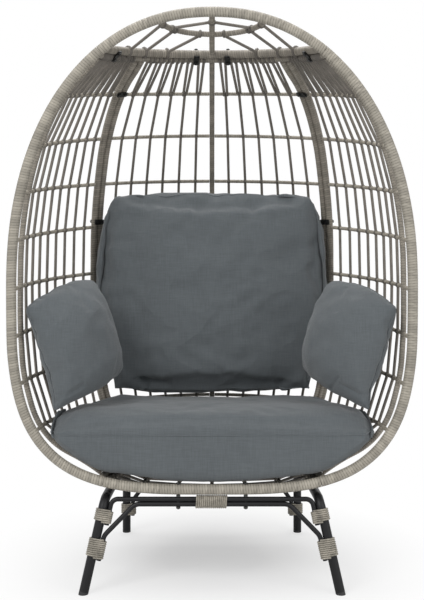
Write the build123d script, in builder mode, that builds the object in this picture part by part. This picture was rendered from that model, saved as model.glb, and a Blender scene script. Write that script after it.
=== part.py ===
from math import acos, asin, cos, dist, pi, radians, sin, sqrt
import os

from build123d import *

os.makedirs("parts", exist_ok=True)

# An egg-shaped lounge chair, in millimetres. The front faces -Y and the feet stand on Z = 0.
# The rim is the upright loop round the front opening. Behind it the shell is five bolted panels:
# cap, back, two sides and seat. Hoops run level round the shell in rows, counted from the top.
# Angles go round the shell from the rim's right side, 0, to the middle of the back, 90.

# Rim, measured on the tube's centre line
rim_half_width = 536.0
rim_top_height = 1540.0
rim_wide_height = 810.0
rim_bottom_height = 265.0
rim_upper_roundness_share = 2.17
rim_lower_roundness_share = 3.4
rim_lower_joint_reach = 290.0

# Shell behind the rim
shell_depth = 620.0
row_height_shares = (0.918, 0.824, 0.716, 0.618, 0.518, 0.416, 0.315, 0.215, 0.118)
row_depth_shares = (0.435, 0.677, 0.839, 0.935, 0.984, 1.0, 0.984, 0.940, 0.865, 0.758)
row_rise_shares = (0.066, 0.126, 0.158, 0.132, 0.121, 0.087, 0.077, 0.064, 0.040, -0.042)
side_seam_angle = 47.0
inner_post_angle = 8.5
seat_dip = 38.0
cap_mid_reach = 144.0
cap_mid_back = 135.0
cap_mid_height = 1512.0
cap_strand_shares = (0.56, 0.76, 0.90)
cap_strand_angles = (62.0, 48.0, 36.0)
cap_front_strand_shares = (0.45, 0.80)
fork_share = 0.25
seat_rib_shares = (-0.68, -0.34, 0.0, 0.34, 0.68)

# Steel tubes, the wicker wound on them and the woven strands
rim_tube_diameter = 22.0
cap_tube_diameter = 18.0
frame_tube_diameter = 14.0
light_rod_diameter = 10.0
tube_wall = 1.5
wrap_thickness = 3.0
hoop_diameter = 11.0
strand_diameter = 8.4
side_strands = 8
back_strands = 6
seat_strands = 7

# Fasteners
bolt_diameter = 6.0
bolt_head_diameter = 11.0
bolt_head_height = 3.5
nut_width = 10.0
nut_height = 5.0
thread_run_out = 1.5
bracket_width = 16.0
bracket_thickness = 2.5
bracket_margin = 8.0
bracket_corner_radius = 4.0
spigot_length = 56.0

shell_bolt_front_reach = 90.0
shell_bolt_back_reach = 45.0
cap_bracket_angles = (24.0, 81.0)
low_bracket_angles = (24.0, 72.0)
post_bracket_shares = (0.10, 0.42, 0.78)

# Base
leg_diameter = 25.4
leg_wall = 2.0
bar_diameter = 13.0
front_foot_reach = 338.0
front_foot_forward = 40.0
back_foot_behind_rim = 520.0
leg_top_reach = 286.0
back_leg_reach = 275.0
leg_bend_radius = 32.0
bar_end_radius = 20.0
brace_bend_radius = 32.0
front_brace_flat_reach = 206.0
back_brace_flat_reach = 190.0
back_brace_height = 190.0
back_bar_room = 1.1
binding_tail = 4.0
brace_run_out = 6.0
foot_head_height = 6.0
foot_stem_length = 24.0

# Wicker bindings on the base
binding_wire_diameter = 4.6
binding_pitch = 5.2
upper_binding_length = 36.0
lower_binding_length = 53.0
back_binding_length = 38.0
centre_binding_length = 92.0
upper_binding_height = 199.0
front_lower_binding_height = 118.0
back_lower_binding_height = 76.0

# Seat cushion: stations from front to back as shares of the depth, widths as shares of the half
# width, and heights as shares of the height, all chosen so that it lies in the dish
seat_cushion_half_width = 443.0
seat_cushion_front = 10.0
seat_cushion_depth = 442.0
seat_cushion_height = 178.0
seat_cushion_edge = 22.0
seat_station_shares = (0.0, 0.04, 0.14, 0.42, 0.72, 0.93, 1.0)
seat_width_shares = (0.93, 0.985, 1.0, 0.965, 0.82, 0.61, 0.48)
seat_under_shares = (0.16, 0.02, 0.01, 0.01, 0.02, 0.07, 0.26)
seat_shoulder_shares = (0.65, 0.66, 0.643, 0.622, 0.597, 0.548, 0.52)
seat_shoulder_rise_shares = (0.12, 0.14, 0.16, 0.15, 0.15, 0.14, 0.08)
seat_round_shares = (0.06, 0.07, 0.01, -0.02, -0.02, -0.01, 0.03)
seat_top_shares = (0.82, 0.94, 1.0, 1.0, 0.97, 0.93, 0.86)
seat_edge_shares = (0.70, 0.75, 0.89, 0.92, 0.93, 0.90, 0.80)

# Back cushion: stations from bottom to top, shares of height, half width and thickness
back_cushion_half_width = 366.0
back_cushion_height = 628.0
back_cushion_front = 62.0
back_cushion_back = 168.0
back_cushion_behind_rim = 400.0
back_cushion_edge = 26.0
back_cushion_foot_share = 1.026
back_station_shares = (0.0, 0.07, 0.26, 0.50, 0.74, 0.93, 1.0)
back_width_shares = (0.85, 0.86, 0.962, 1.0, 0.97, 0.90, 0.83)
back_shift_shares = (-0.25, -0.16, 0.0, 0.0, 0.0, 0.0, 0.0)
back_middle_share = 0.5
back_fullness_shares = (0.22, 0.66, 0.96, 1.0, 0.96, 0.66, 0.20)

# Pillows: two alike, leaning in the front corners of the seat
pillow_half_width = 168.0
pillow_front = 80.0
pillow_back = 64.0
pillow_edge = 14.0
pillow_reach = 388.5
pillow_behind_rim = 152.0
pillow_height = 651.5
pillow_turn = 54.0
pillow_lean = 9.0
pillow_roll = 15.0
pillow_station_shares = (-1.0, -0.86, -0.45, 0.0, 0.45, 0.86, 1.0)
pillow_width_shares = (0.93, 0.95, 0.93, 0.92, 0.93, 0.95, 0.93)
pillow_fullness_shares = (0.20, 0.58, 0.93, 1.0, 0.93, 0.58, 0.20)
side_bulge_share = 0.45
straight_share = 1e-9

# Running clearances
joint_gap = 0.3
thread_gap = 0.1
hole_gap = 0.3
seam_gap = 0.6
overrun = 5.0

# Derived sizes of the tubes
rim_radius = rim_tube_diameter / 2 + wrap_thickness
cap_radius = cap_tube_diameter / 2 + wrap_thickness
frame_radius = frame_tube_diameter / 2 + wrap_thickness
light_radius = light_rod_diameter / 2 + wrap_thickness
hoop_radius = hoop_diameter / 2
strand_radius = strand_diameter / 2
seam_reach = frame_radius + seam_gap / 2
cap_seam_reach = cap_radius + seam_gap / 2
last_row = len(row_height_shares)

# The rim plane stands forward of the origin, so that the origin is in the middle of the depth
front_reach = front_foot_forward + leg_diameter / 2
back_reach = shell_depth + light_radius
rim_y = (front_reach - back_reach) / 2


def direction(vector):
    return vector.normalized()


def rim_half_width_at(height):
    """Half the rim's width at a height, on its centre line."""
    if height >= rim_wide_height:
        share = (height - rim_wide_height) / (rim_top_height - rim_wide_height)
        roundness = rim_upper_roundness_share
    else:
        share = (rim_wide_height - height) / (rim_wide_height - rim_bottom_height)
        roundness = rim_lower_roundness_share
    return rim_half_width * (1 - share**roundness) ** (1 / roundness)


def rim_place(turn):
    """A point of the rim and its heading. The turn is 0 at the right side, 90 at the top, -90 below."""
    upper = turn >= 0
    roundness = rim_upper_roundness_share if upper else rim_lower_roundness_share
    tall = rim_top_height - rim_wide_height if upper else rim_wide_height - rim_bottom_height
    across, up = cos(radians(turn)), sin(radians(turn))
    x_share = abs(across) ** (2 / roundness) * (1 if across >= 0 else -1)
    z_share = abs(up) ** (2 / roundness) * (1 if upper else -1)
    point = Vector(rim_half_width * x_share, rim_y, rim_wide_height + tall * z_share)
    normal_x = abs(x_share) ** (roundness - 1) * (1 if across >= 0 else -1) / rim_half_width
    normal_z = abs(z_share) ** (roundness - 1) * (1 if upper else -1) / tall
    return point, direction(Vector(-normal_z, 0, normal_x))


def rim_turn_at_height(height):
    """The turn at which the rim's right side passes a height."""
    if height >= rim_wide_height:
        share = (height - rim_wide_height) / (rim_top_height - rim_wide_height)
        return asin(share ** (rim_upper_roundness_share / 2)) * 180 / pi
    share = (rim_wide_height - height) / (rim_wide_height - rim_bottom_height)
    return -asin(share ** (rim_lower_roundness_share / 2)) * 180 / pi


def rim_height_below(reach):
    """The height of the rim's lower half at a distance from the middle."""
    roundness = rim_lower_roundness_share
    share = (1 - (abs(reach) / rim_half_width) ** roundness) ** (1 / roundness)
    return rim_wide_height - (rim_wide_height - rim_bottom_height) * share


def rim_height_above(reach):
    """The height of the rim's upper half at a distance from the middle."""
    roundness = rim_upper_roundness_share
    share = (1 - (abs(reach) / rim_half_width) ** roundness) ** (1 / roundness)
    return rim_wide_height + (rim_top_height - rim_wide_height) * share


def row_height(row):
    """The height of a row at the rim. The last row starts at the rim's lower joints."""
    if row == last_row:
        return rim_height_below(rim_lower_joint_reach)
    return rim_bottom_height + (rim_top_height - rim_bottom_height) * row_height_shares[row]


def row_half_width(row):
    return rim_lower_joint_reach if row == last_row else rim_half_width_at(row_height(row))


def shell_point(row, angle):
    """A point of the shell on a hoop's row, some degrees round from the rim's right side."""
    across, back = cos(radians(angle)), sin(radians(angle))
    return Vector(
        row_half_width(row) * across,
        rim_y + shell_depth * row_depth_shares[row] * back,
        row_height(row) + shell_depth * row_rise_shares[row] * back,
    )


def shell_speed(row, angle):
    """How the shell point moves along its row for each degree."""
    across, back = cos(radians(angle)), sin(radians(angle))
    return Vector(
        -row_half_width(row) * back,
        shell_depth * row_depth_shares[row] * across,
        shell_depth * row_rise_shares[row] * across,
    ) * (pi / 180)


def angle_past(row, angle, distance):
    """The angle that lies a small distance further along a row."""
    return angle + distance / shell_speed(row, angle).length


def shell_up(row, angle):
    """The heading along the shell towards the row above."""
    above, below = (row - 1, row) if row else (row, row + 1)
    return direction(shell_point(above, angle) - shell_point(below, angle))


def edge_point(row, angle, reach):
    """A point beside a seam row: a positive reach lies above the seam, a negative one below it."""
    return shell_point(row, angle) + shell_up(row, angle) * reach


def butt(own_radius, own_heading, other_radius, other_heading):
    """How far from another tube's centre line a tube's flat end stops."""
    lean = abs(own_heading.dot(other_heading))
    return (other_radius + joint_gap + own_radius * lean) / sqrt(1 - lean * lean)


def biarc(start, start_heading, end, end_heading):
    """Two arcs that meet in one tangent, from one point and heading to another."""
    chord = end - start
    both = start_heading + end_heading
    spread = 2 * (1 - start_heading.dot(end_heading))
    along = chord.dot(both)
    if spread < straight_share:
        reach = chord.dot(chord) / (2 * along)
    else:
        reach = (sqrt(along * along + spread * chord.dot(chord)) - along) / spread
    middle = (start + end + (start_heading - end_heading) * reach) / 2
    first = TangentArc(start, middle, tangent=start_heading)
    second = TangentArc(middle, end, tangent=first % 1)
    return [first, second]


def smooth_path(points, headings):
    """One tangent chain of arcs through points with known headings."""
    edges = []
    for here in range(len(points) - 1):
        edges += biarc(points[here], headings[here], points[here + 1], headings[here + 1])
    return Wire(edges)


def free_headings(points):
    """Headings at points that are joined by even bends."""
    steps = [points[here + 1] - points[here] for here in range(len(points) - 1)]
    inner = [
        direction(direction(before) * after.length + direction(after) * before.length)
        for before, after in zip(steps, steps[1:])
    ]
    first = direction(direction(steps[0]) * 2 - inner[0])
    last = direction(direction(steps[-1]) * 2 - inner[-1])
    return [first, *inner, last]


def even_path(points):
    return smooth_path(points, free_headings(points))


def between(start, end, count):
    """Evenly spaced values, both ends included."""
    return [start + (end - start) * step / count for step in range(count + 1)]


def seam_path(row, reach, start, end, count):
    """A tube's path beside a seam row."""
    return even_path([edge_point(row, angle, reach) for angle in between(start, end, count)])


def tubes(paths, radius, bore_radius=0):
    """A round tube or rod along each path, as separate solids."""
    solids = []
    for path in paths:
        with BuildPart() as tube:
            with BuildSketch(Plane(path @ 0, z_dir=path % 0)):
                Circle(radius)
                if bore_radius:
                    Circle(bore_radius, mode=Mode.SUBTRACT)
            sweep(path=path)
        solids.append(tube.part.solid())
    return solids


def wound_tube(path, diameter):
    """A steel tube with the wicker strip that is wound and glued on it."""
    return tubes([path], diameter / 2 + wrap_thickness, diameter / 2 - tube_wall)[0]


def straight_rod(start, end, radius):
    """A straight round rod between two points."""
    with BuildPart(Plane(start, z_dir=end - start)) as rod:
        Cylinder(radius, (end - start).length, align=(Align.CENTER, Align.CENTER, Align.MIN))
    return rod.part.solid()


def drilled(solid, drills):
    """A solid with the bolts' holes through it."""
    with BuildPart() as piece:
        add(solid)
        add(drills, mode=Mode.SUBTRACT)
    return piece.part.solid()


def mirrored(solids):
    """The same solids on the chair's left side."""
    return [mirror(solid, about=Plane.YZ) for solid in solids]


def finish(name, solids):
    """Keep one or more separate solids as one named piece."""
    with BuildPart() as piece:
        add(Compound(list(solids)))
    piece.part.label = name
    export_step(piece.part, f"parts/{name}.step")


def trimmed(edge, first_stop, last_stop):
    """An edge that stops short of the bars at its two ends."""
    return edge.trim(first_stop / edge.length, 1 - last_stop / edge.length)


# Angles of the posts' centre lines on each row, at either side of the seam between side and back
side_post_angles = [angle_past(row, side_seam_angle, -seam_reach) for row in range(last_row + 1)]
back_post_angles = [angle_past(row, side_seam_angle, seam_reach) for row in range(last_row + 1)]
post_stop = seam_reach + frame_radius + joint_gap


def post_path(angles):
    """A post from just under the top tube to just over the bottom tube."""
    top = edge_point(0, angles[0], -post_stop)
    bottom = edge_point(last_row, angles[-1], post_stop)
    points = [top, *[shell_point(row, angles[row]) for row in range(1, last_row)], bottom]
    headings = free_headings(points)
    return smooth_path(points, [-shell_up(0, angles[0]), *headings[1:-1], -shell_up(last_row, angles[-1])])


def first_angle(row, radius, reach):
    """The angle at which a tube beside a seam row clears the rim tube that it meets."""
    start = edge_point(row, 0, reach)
    ahead = edge_point(row, inner_post_angle, reach)
    rim_heading = rim_place(rim_turn_at_height(start.Z))[1]
    stop = butt(radius, direction(ahead - start), rim_radius, rim_heading)
    return asin(stop / (shell_depth * row_depth_shares[row])) * 180 / pi


def rim_turn_past(turn, distance):
    """The turn that lies a small distance further along the rim."""
    here, ahead = rim_place(turn)[0], rim_place(turn + 1)[0]
    return turn + distance / (ahead - here).length


def rim_path(turns):
    places = [rim_place(turn) for turn in turns]
    return smooth_path([point for point, _ in places], [heading for _, heading in places])


# Rim: one stretch in the cap, one in each side and one in the seat, with butt joints between them
top_joint_turn = rim_turn_at_height(row_height(0))
low_joint_turn = rim_turn_at_height(row_height(last_row))
cap_turn = rim_turn_past(top_joint_turn, joint_gap / 2)
side_top_turn = rim_turn_past(top_joint_turn, -joint_gap / 2)
side_low_turn = rim_turn_past(low_joint_turn, joint_gap / 2)
seat_turn = rim_turn_past(low_joint_turn, -joint_gap / 2)
cap_rim_path = rim_path(between(cap_turn, 180 - cap_turn, 6))
side_rim_path = rim_path(between(side_low_turn, 0, 4)[:-1] + between(0, side_top_turn, 4))
seat_rim_path = rim_path(between(-180 - seat_turn, seat_turn, 4))

# Tubes along the seams
cap_rear_start = first_angle(0, cap_radius, cap_seam_reach)
side_top_start = first_angle(0, frame_radius, -seam_reach)
side_low_start = first_angle(last_row, frame_radius, seam_reach)
ring_start = first_angle(last_row, frame_radius, -seam_reach)
side_top_end = angle_past(0, side_seam_angle, -seam_gap / 2)
side_low_end = angle_past(last_row, side_seam_angle, -seam_gap / 2)
back_top_start = angle_past(0, side_seam_angle, seam_gap / 2)
back_low_start = angle_past(last_row, side_seam_angle, seam_gap / 2)

cap_rear_path = seam_path(0, cap_seam_reach, cap_rear_start, 180 - cap_rear_start, 12)
side_top_path = seam_path(0, -seam_reach, side_top_start, side_top_end, 4)
side_low_path = seam_path(last_row, seam_reach, side_low_start, side_low_end, 4)
back_top_path = seam_path(0, -seam_reach, back_top_start, 180 - back_top_start, 6)
back_low_path = seam_path(last_row, seam_reach, back_low_start, 180 - back_low_start, 6)
ring_path = seam_path(last_row, -seam_reach, ring_start, 180 - ring_start, 12)

# Posts
side_post_path = post_path(side_post_angles)
back_post_path = post_path(back_post_angles)
inner_post_path = post_path([inner_post_angle] * (last_row + 1))
centre_rib_path = post_path([90.0] * (last_row + 1))

# Cap: a thin tube across the middle, and a spine in two lengths that meets it
mid_turn = rim_turn_at_height(rim_height_above(cap_mid_reach))
mid_right, mid_rim_heading = rim_place(mid_turn)
mid_left = rim_place(180 - mid_turn)[0]
mid_middle = Vector(0, rim_y + cap_mid_back, cap_mid_height)
cap_mid_arc = ThreePointArc(mid_left, mid_middle, mid_right)
mid_stop = butt(light_radius, cap_mid_arc % 1, rim_radius, mid_rim_heading)
cap_mid_path = trimmed(cap_mid_arc, mid_stop, mid_stop)
rim_crown = Vector(0, rim_y, rim_top_height)
cap_rear_middle = edge_point(0, 90.0, cap_seam_reach)
spine_arc = ThreePointArc(rim_crown, mid_middle, cap_rear_middle)
front_run, rear_run = (mid_middle - rim_crown).length, (cap_rear_middle - mid_middle).length
mid_along = front_run / (front_run + rear_run)
spine_cut = light_radius + joint_gap
spine_front = spine_arc.trim(
    butt(light_radius, spine_arc % 0, rim_radius, Vector(1, 0, 0)) / spine_arc.length,
    mid_along - spine_cut / spine_arc.length,
)
spine_rear = spine_arc.trim(
    mid_along + spine_cut / spine_arc.length,
    1 - butt(light_radius, spine_arc % 1, cap_radius, Vector(1, 0, 0)) / spine_arc.length,
)


def tie(below, above):
    """A straight strand between two bars. Each bar is a point, its heading and its radius."""
    heading = direction(above[0] - below[0])
    start = below[0] + heading * butt(strand_radius, heading, below[2], below[1])
    end = above[0] - heading * butt(strand_radius, heading, above[2], above[1])
    return straight_rod(start, end, strand_radius)


def on_edge(edge, share, radius):
    return edge @ share, edge % share, radius


def on_seam(row, angle, reach, radius):
    return edge_point(row, angle, reach), direction(shell_speed(row, angle)), radius


def hoop_arc(row, start, end):
    """A hoop's centre line between the posts that it meets."""
    return ThreePointArc(
        shell_point(row, start), shell_point(row, (start + end) / 2), shell_point(row, end)
    )


def woven(arcs, starts, ends, count):
    """Upright strands between a seam tube, the hoops below it and the seam tube at the bottom."""
    strands = []
    for here in range(1, count + 1):
        share = here / (count + 1)
        spots = [on_edge(arcs[row], share, hoop_radius) for row in range(1, last_row)]
        strands += [tie(below, above) for above, below in zip(spots, spots[1:])]
        low_angle = starts[last_row] + (ends[last_row] - starts[last_row]) * share
        foot = on_seam(last_row, low_angle, seam_reach, frame_radius)
        strands.append(tie(foot, spots[-1]))
        part_share = (strand_radius + joint_gap) / arcs[1].length
        for side in (-1, 1):
            top_share = share + side * fork_share / (count + 1)
            top_angle = starts[0] + (ends[0] - starts[0]) * top_share
            head = on_seam(0, top_angle, -seam_reach, frame_radius)
            strands.append(tie(on_edge(arcs[1], share + side * part_share, hoop_radius), head))
    return strands


# Hoops of the right side and of the back's right half
inner_angles = [inner_post_angle] * (last_row + 1)
middle_angles = [90.0] * (last_row + 1)
side_arcs = [hoop_arc(row, inner_post_angle, side_post_angles[row]) for row in range(last_row + 1)]
back_arcs = [hoop_arc(row, back_post_angles[row], 90.0) for row in range(last_row + 1)]
side_hoops, back_hoops, side_stubs = [], [], []
for row in range(1, last_row):
    side_arc, back_arc = side_arcs[row], back_arcs[row]
    inner_stop = butt(hoop_radius, side_arc % 0, light_radius, shell_up(row, inner_post_angle))
    side_stop = butt(hoop_radius, side_arc % 1, frame_radius, shell_up(row, side_post_angles[row]))
    back_stop = butt(hoop_radius, back_arc % 0, frame_radius, shell_up(row, back_post_angles[row]))
    middle_stop = butt(hoop_radius, back_arc % 1, light_radius, shell_up(row, 90.0))
    side_hoops.append(trimmed(side_arc, inner_stop, side_stop))
    back_hoops.append(trimmed(back_arc, back_stop, middle_stop))
    rim_spot, post_spot = shell_point(row, 0), shell_point(row, inner_post_angle)
    heading = direction(post_spot - rim_spot)
    rim_heading = rim_place(rim_turn_at_height(row_height(row)))[1]
    stub_start = rim_spot + heading * butt(hoop_radius, heading, rim_radius, rim_heading)
    stub_end = post_spot - heading * butt(hoop_radius, heading, light_radius, shell_up(row, inner_post_angle))
    side_stubs.append(straight_rod(stub_start, stub_end, hoop_radius))

# Seat: ribs from the front rim to the ring, and strands across them
ring_half_width = edge_point(last_row, 0, -seam_reach).X
seat_arcs, seat_rib_paths = [], []
for share in seat_rib_shares:
    reach = ring_half_width * share
    rim_spot = Vector(reach, rim_y, rim_height_below(reach))
    rim_heading = rim_place(-90.0 if share == 0 else -90.0 + asin(share) * 180 / pi)[1]
    ring_angle = acos(share) * 180 / pi
    ring_spot = edge_point(last_row, ring_angle, -seam_reach)
    middle = (rim_spot + ring_spot) / 2 - Vector(0, 0, seat_dip * (1 - share * share))
    arc = ThreePointArc(rim_spot, middle, ring_spot)
    seat_arcs.append(arc)
    seat_rib_paths.append(
        trimmed(
            arc,
            butt(hoop_radius, arc % 0, rim_radius, rim_heading),
            butt(hoop_radius, arc % 1, frame_radius, direction(shell_speed(last_row, ring_angle))),
        )
    )
seat_ties = []
for here in range(1, seat_strands + 1):
    share = here / (seat_strands + 1)
    for left, right in zip(seat_arcs, seat_arcs[1:]):
        seat_ties.append(tie(on_edge(left, share, hoop_radius), on_edge(right, share, hoop_radius)))
    outer_spot = seat_arcs[-1] @ share
    ring_angle = asin((outer_spot.Y - rim_y) / (shell_depth * row_depth_shares[last_row])) * 180 / pi
    ring_spot = on_seam(last_row, ring_angle, -seam_reach, frame_radius)
    outer_tie = tie(on_edge(seat_arcs[-1], share, hoop_radius), ring_spot)
    seat_ties += [outer_tie, *mirrored([outer_tie])]

# Strands of the cap
cap_ties = [
    tie(
        on_edge(spine_arc, cap_front_strand_shares[0] * mid_along, light_radius),
        on_edge(cap_mid_arc, cap_front_strand_shares[1], light_radius),
    )
]
for share, angle in zip(cap_strand_shares, cap_strand_angles):
    cap_ties.append(
        tie(on_edge(cap_mid_arc, share, light_radius), on_seam(0, angle, cap_seam_reach, cap_radius))
    )

# Brackets across the seams: a plate on the inner side, a bolt through each of the two tubes
hex_radius = nut_width / sqrt(3)
hole_radius = bolt_diameter / 2 + hole_gap
plates, bolts, nuts = [], [], []


def bolt_and_nut(under_head, heading, grip):
    """A round-headed bolt that passes a grip and holds a nut beyond it."""
    at = Plane(under_head, z_dir=heading)
    shank_length = grip + nut_height + thread_run_out
    with BuildPart(at) as bolt:
        Cylinder(bolt_diameter / 2, shank_length, align=(Align.CENTER, Align.CENTER, Align.MIN))
        Cylinder(bolt_head_diameter / 2, bolt_head_height, align=(Align.CENTER, Align.CENTER, Align.MAX))
    with BuildPart(Plane(under_head + heading * grip, z_dir=heading)) as nut:
        with BuildSketch(Plane(under_head + heading * grip, z_dir=heading)):
            RegularPolygon(hex_radius, 6)
            Circle(bolt_diameter / 2 + thread_gap / 2, mode=Mode.SUBTRACT)
        extrude(amount=nut_height)
    return bolt.part.solid(), nut.part.solid()


def bracket(centre, across, along, sides):
    """One bracket. Each side is a reach from the seam, a tube radius and a list that takes the drill."""
    outward = direction(across.cross(along))
    if outward.dot(centre - shell_middle) < 0:
        outward = -outward
    stand = max(radius for _, radius, _ in sides) + joint_gap
    length = sides[0][0] + sides[1][0] + 2 * bracket_margin
    offset = (sides[1][0] - sides[0][0]) / 2
    seat_plane = Plane(centre + across * offset - outward * stand, x_dir=across, z_dir=-outward)
    with BuildPart(seat_plane) as plate:
        Box(length, bracket_width, bracket_thickness, align=(Align.CENTER, Align.CENTER, Align.MIN))
        with Locations((-(sides[0][0] + sides[1][0]) / 2, 0), ((sides[0][0] + sides[1][0]) / 2, 0)):
            Hole(hole_radius)
        upright = plate.edges().filter_by(Axis(centre, outward))
        corners = [edge for edge in upright if edge.geom_type == GeomType.LINE]
        fillet(corners, bracket_corner_radius)
    plates.append(plate.part.solid())
    for sign, (reach, radius, drills) in zip((-1, 1), sides):
        axis = centre + across * (sign * reach)
        head = axis - outward * (stand + bracket_thickness)
        bolt, nut = bolt_and_nut(head, outward, stand + bracket_thickness + radius + joint_gap)
        bolts.append(bolt)
        nuts.append(nut)
        past = outward * (stand + overrun)
        drills.append(straight_rod(axis - past, axis + past, hole_radius))


shell_middle = Vector(0, rim_y, rim_wide_height)
cap_rear_drills, side_top_drills, back_top_drills = [], [], []
side_post_drills, back_post_drills = [], []
side_low_drills, back_low_drills, ring_drills = [], [], []
for angle, lower in zip(cap_bracket_angles, (side_top_drills, back_top_drills)):
    up, along = shell_up(0, angle), direction(shell_speed(0, angle))
    up = direction(up - along * up.dot(along))
    bracket(
        shell_point(0, angle), up, along,
        ((seam_reach, frame_radius, lower), (cap_seam_reach, cap_radius, cap_rear_drills)),
    )
for angle, upper in zip(low_bracket_angles, (side_low_drills, back_low_drills)):
    up, along = shell_up(last_row, angle), direction(shell_speed(last_row, angle))
    up = direction(up - along * up.dot(along))
    bracket(
        shell_point(last_row, angle), up, along,
        ((seam_reach, frame_radius, ring_drills), (seam_reach, frame_radius, upper)),
    )
for share in post_bracket_shares:
    near, far = side_post_path @ share, back_post_path @ share
    along = side_post_path % share
    across = far - near
    across = direction(across - along * across.dot(along))
    reach = (far - near).dot(across) / 2
    bracket(
        (near + far) / 2, across, along,
        ((reach, frame_radius, side_post_drills), (reach, frame_radius, back_post_drills)),
    )


def both(solids):
    """Solids of the right side and the same on the left."""
    return [*solids, *mirrored(solids)]


# Bolts that hold the shell on the base. The front ones pass the rim, the crossbar and the brace,
# and the back ones lean with the seam and pass the two seam tubes and the crossbar
bar_radius = bar_diameter / 2
back_bolt_angle = acos(shell_bolt_back_reach / ring_half_width) * 180 / pi
back_bolt_up = shell_up(last_row, back_bolt_angle)
back_bolt_up = direction(Vector(0, back_bolt_up.Y, back_bolt_up.Z))
back_bar_spot = edge_point(last_row, back_bolt_angle, -seam_reach) - back_bolt_up * (
    frame_radius + back_bar_room + bar_radius
)
back_bolt_head = edge_point(last_row, back_bolt_angle, seam_reach + frame_radius + joint_gap)
binding_room = binding_wire_diameter + 2 * joint_gap
front_bar_height = rim_bottom_height - rim_radius - binding_room - bar_radius
bar_spacing = bar_diameter + joint_gap
front_bolt_head = Vector(
    shell_bolt_front_reach, rim_y, rim_height_below(shell_bolt_front_reach) + rim_radius + joint_gap
)
front_brace_spot = Vector(shell_bolt_front_reach, rim_y, front_bar_height - bar_spacing)
shell_bolts, shell_nuts, shell_drills = [], [], []
for head, bar_spot, up in (
    (front_bolt_head, front_brace_spot, Vector(0, 0, 1)),
    (back_bolt_head, back_bar_spot, back_bolt_up),
):
    grip = (head - bar_spot).dot(up) + bar_radius + joint_gap
    bolt, nut = bolt_and_nut(head, -up, grip)
    shell_bolts.append(bolt)
    shell_nuts.append(nut)
    shell_drills.append(straight_rod(head + up * overrun, head - up * (grip + overrun), hole_radius))
front_shell_drills, back_shell_drills = both(shell_drills[:1]), both(shell_drills[1:])

# Sleeves on the front bolts, between the rim and the crossbar, where the centre binding passes
spacer_foot = Vector(shell_bolt_front_reach, rim_y, front_bar_height + bar_radius + joint_gap)
spacer_head = front_bolt_head - Vector(0, 0, 2 * (rim_radius + joint_gap))
with BuildPart(Plane(spacer_foot)) as spacer:
    with BuildSketch(Plane(spacer_foot)):
        Circle(bolt_head_diameter / 2)
        Circle(hole_radius, mode=Mode.SUBTRACT)
    extrude(amount=(spacer_head - spacer_foot).Z)

# Rim stretches and the spigots in their butt joints
spigots = []
for turn in (top_joint_turn, low_joint_turn):
    reach = spigot_length / 2
    turns = [rim_turn_past(turn, -reach), turn, rim_turn_past(turn, reach)]
    spigots += tubes([rim_path(turns)], rim_tube_diameter / 2 - tube_wall - joint_gap)
finish("rim_spigots", both(spigots))

# Cap panel
finish("cap_rim_tube", [wound_tube(cap_rim_path, rim_tube_diameter)])
finish("cap_rear_tube", [drilled(wound_tube(cap_rear_path, cap_tube_diameter), both(cap_rear_drills))])
finish("cap_middle_rod", tubes([cap_mid_path], light_radius))
finish("cap_spine_rods", tubes([spine_front, spine_rear], light_radius))
finish("cap_strands", both(cap_ties))

# Side panels, made on the right and mirrored for the left
side_tubes = [
    (side_top_path, side_top_drills),
    (side_low_path, side_low_drills),
    (side_post_path, side_post_drills),
]
side_pieces = {
    "rim_tube": [wound_tube(side_rim_path, rim_tube_diameter)],
    "frame_tubes": [drilled(wound_tube(path, frame_tube_diameter), drills) for path, drills in side_tubes],
    "inner_post": tubes([inner_post_path], light_radius),
    "hoops": [*tubes(side_hoops, hoop_radius), *side_stubs],
    "strands": woven(side_arcs, inner_angles, side_post_angles, side_strands),
}
for piece, solids in side_pieces.items():
    finish(f"right_side_{piece}", solids)
    finish(f"left_side_{piece}", mirrored(solids))

# Back panel
finish(
    "back_frame_tubes",
    [
        drilled(wound_tube(back_top_path, frame_tube_diameter), both(back_top_drills)),
        drilled(wound_tube(back_low_path, frame_tube_diameter), both(back_low_drills) + back_shell_drills),
        *both([drilled(wound_tube(back_post_path, frame_tube_diameter), back_post_drills)]),
    ],
)
finish("back_centre_rib", tubes([centre_rib_path], light_radius))
finish("back_hoops", both(tubes(back_hoops, hoop_radius)))
finish("back_strands", both(woven(back_arcs, back_post_angles, middle_angles, back_strands)))

# Seat panel
finish("seat_rim_tube", [drilled(wound_tube(seat_rim_path, rim_tube_diameter), front_shell_drills)])
finish(
    "seat_ring_tube",
    [drilled(wound_tube(ring_path, frame_tube_diameter), both(ring_drills) + back_shell_drills)],
)
finish("seat_ribs", tubes(seat_rib_paths, hoop_radius))
finish("seat_strands", seat_ties)

# Fasteners
finish("panel_brackets", both(plates))
finish("panel_bolts", both(bolts))
finish("panel_nuts", both(nuts))
finish("shell_bolts", both(shell_bolts))
finish("shell_nuts", both(shell_nuts))
finish("shell_spacers", both([spacer.part.solid()]))

# Base: two bent side tubes, each with a front leg, a rail and a back leg
leg_radius = leg_diameter / 2
side_by_side = leg_radius + bar_radius + joint_gap
back_bar_y, back_bar_height = back_bar_spot.Y, back_bar_spot.Z
front_corner = Vector(leg_top_reach, rim_y, front_bar_height)
front_foot = Vector(front_foot_reach, rim_y - front_foot_forward, 0)
back_y = rim_y + back_foot_behind_rim
rail_fall = (front_bar_height - back_bar_height) / (back_bar_y - rim_y)
back_corner = Vector(back_leg_reach, back_y, front_bar_height - rail_fall * back_foot_behind_rim)
back_foot = Vector(back_leg_reach, back_y, 0)
front_leg_up = direction(front_corner - front_foot)
rail_back = direction(back_corner - front_corner)
upright = Vector(0, 0, 1)


def inward(heading):
    """The inner side of a right leg or rail, square to it."""
    toward = Vector(-1, 0, 0)
    return direction(toward - heading * toward.dot(heading))


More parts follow.
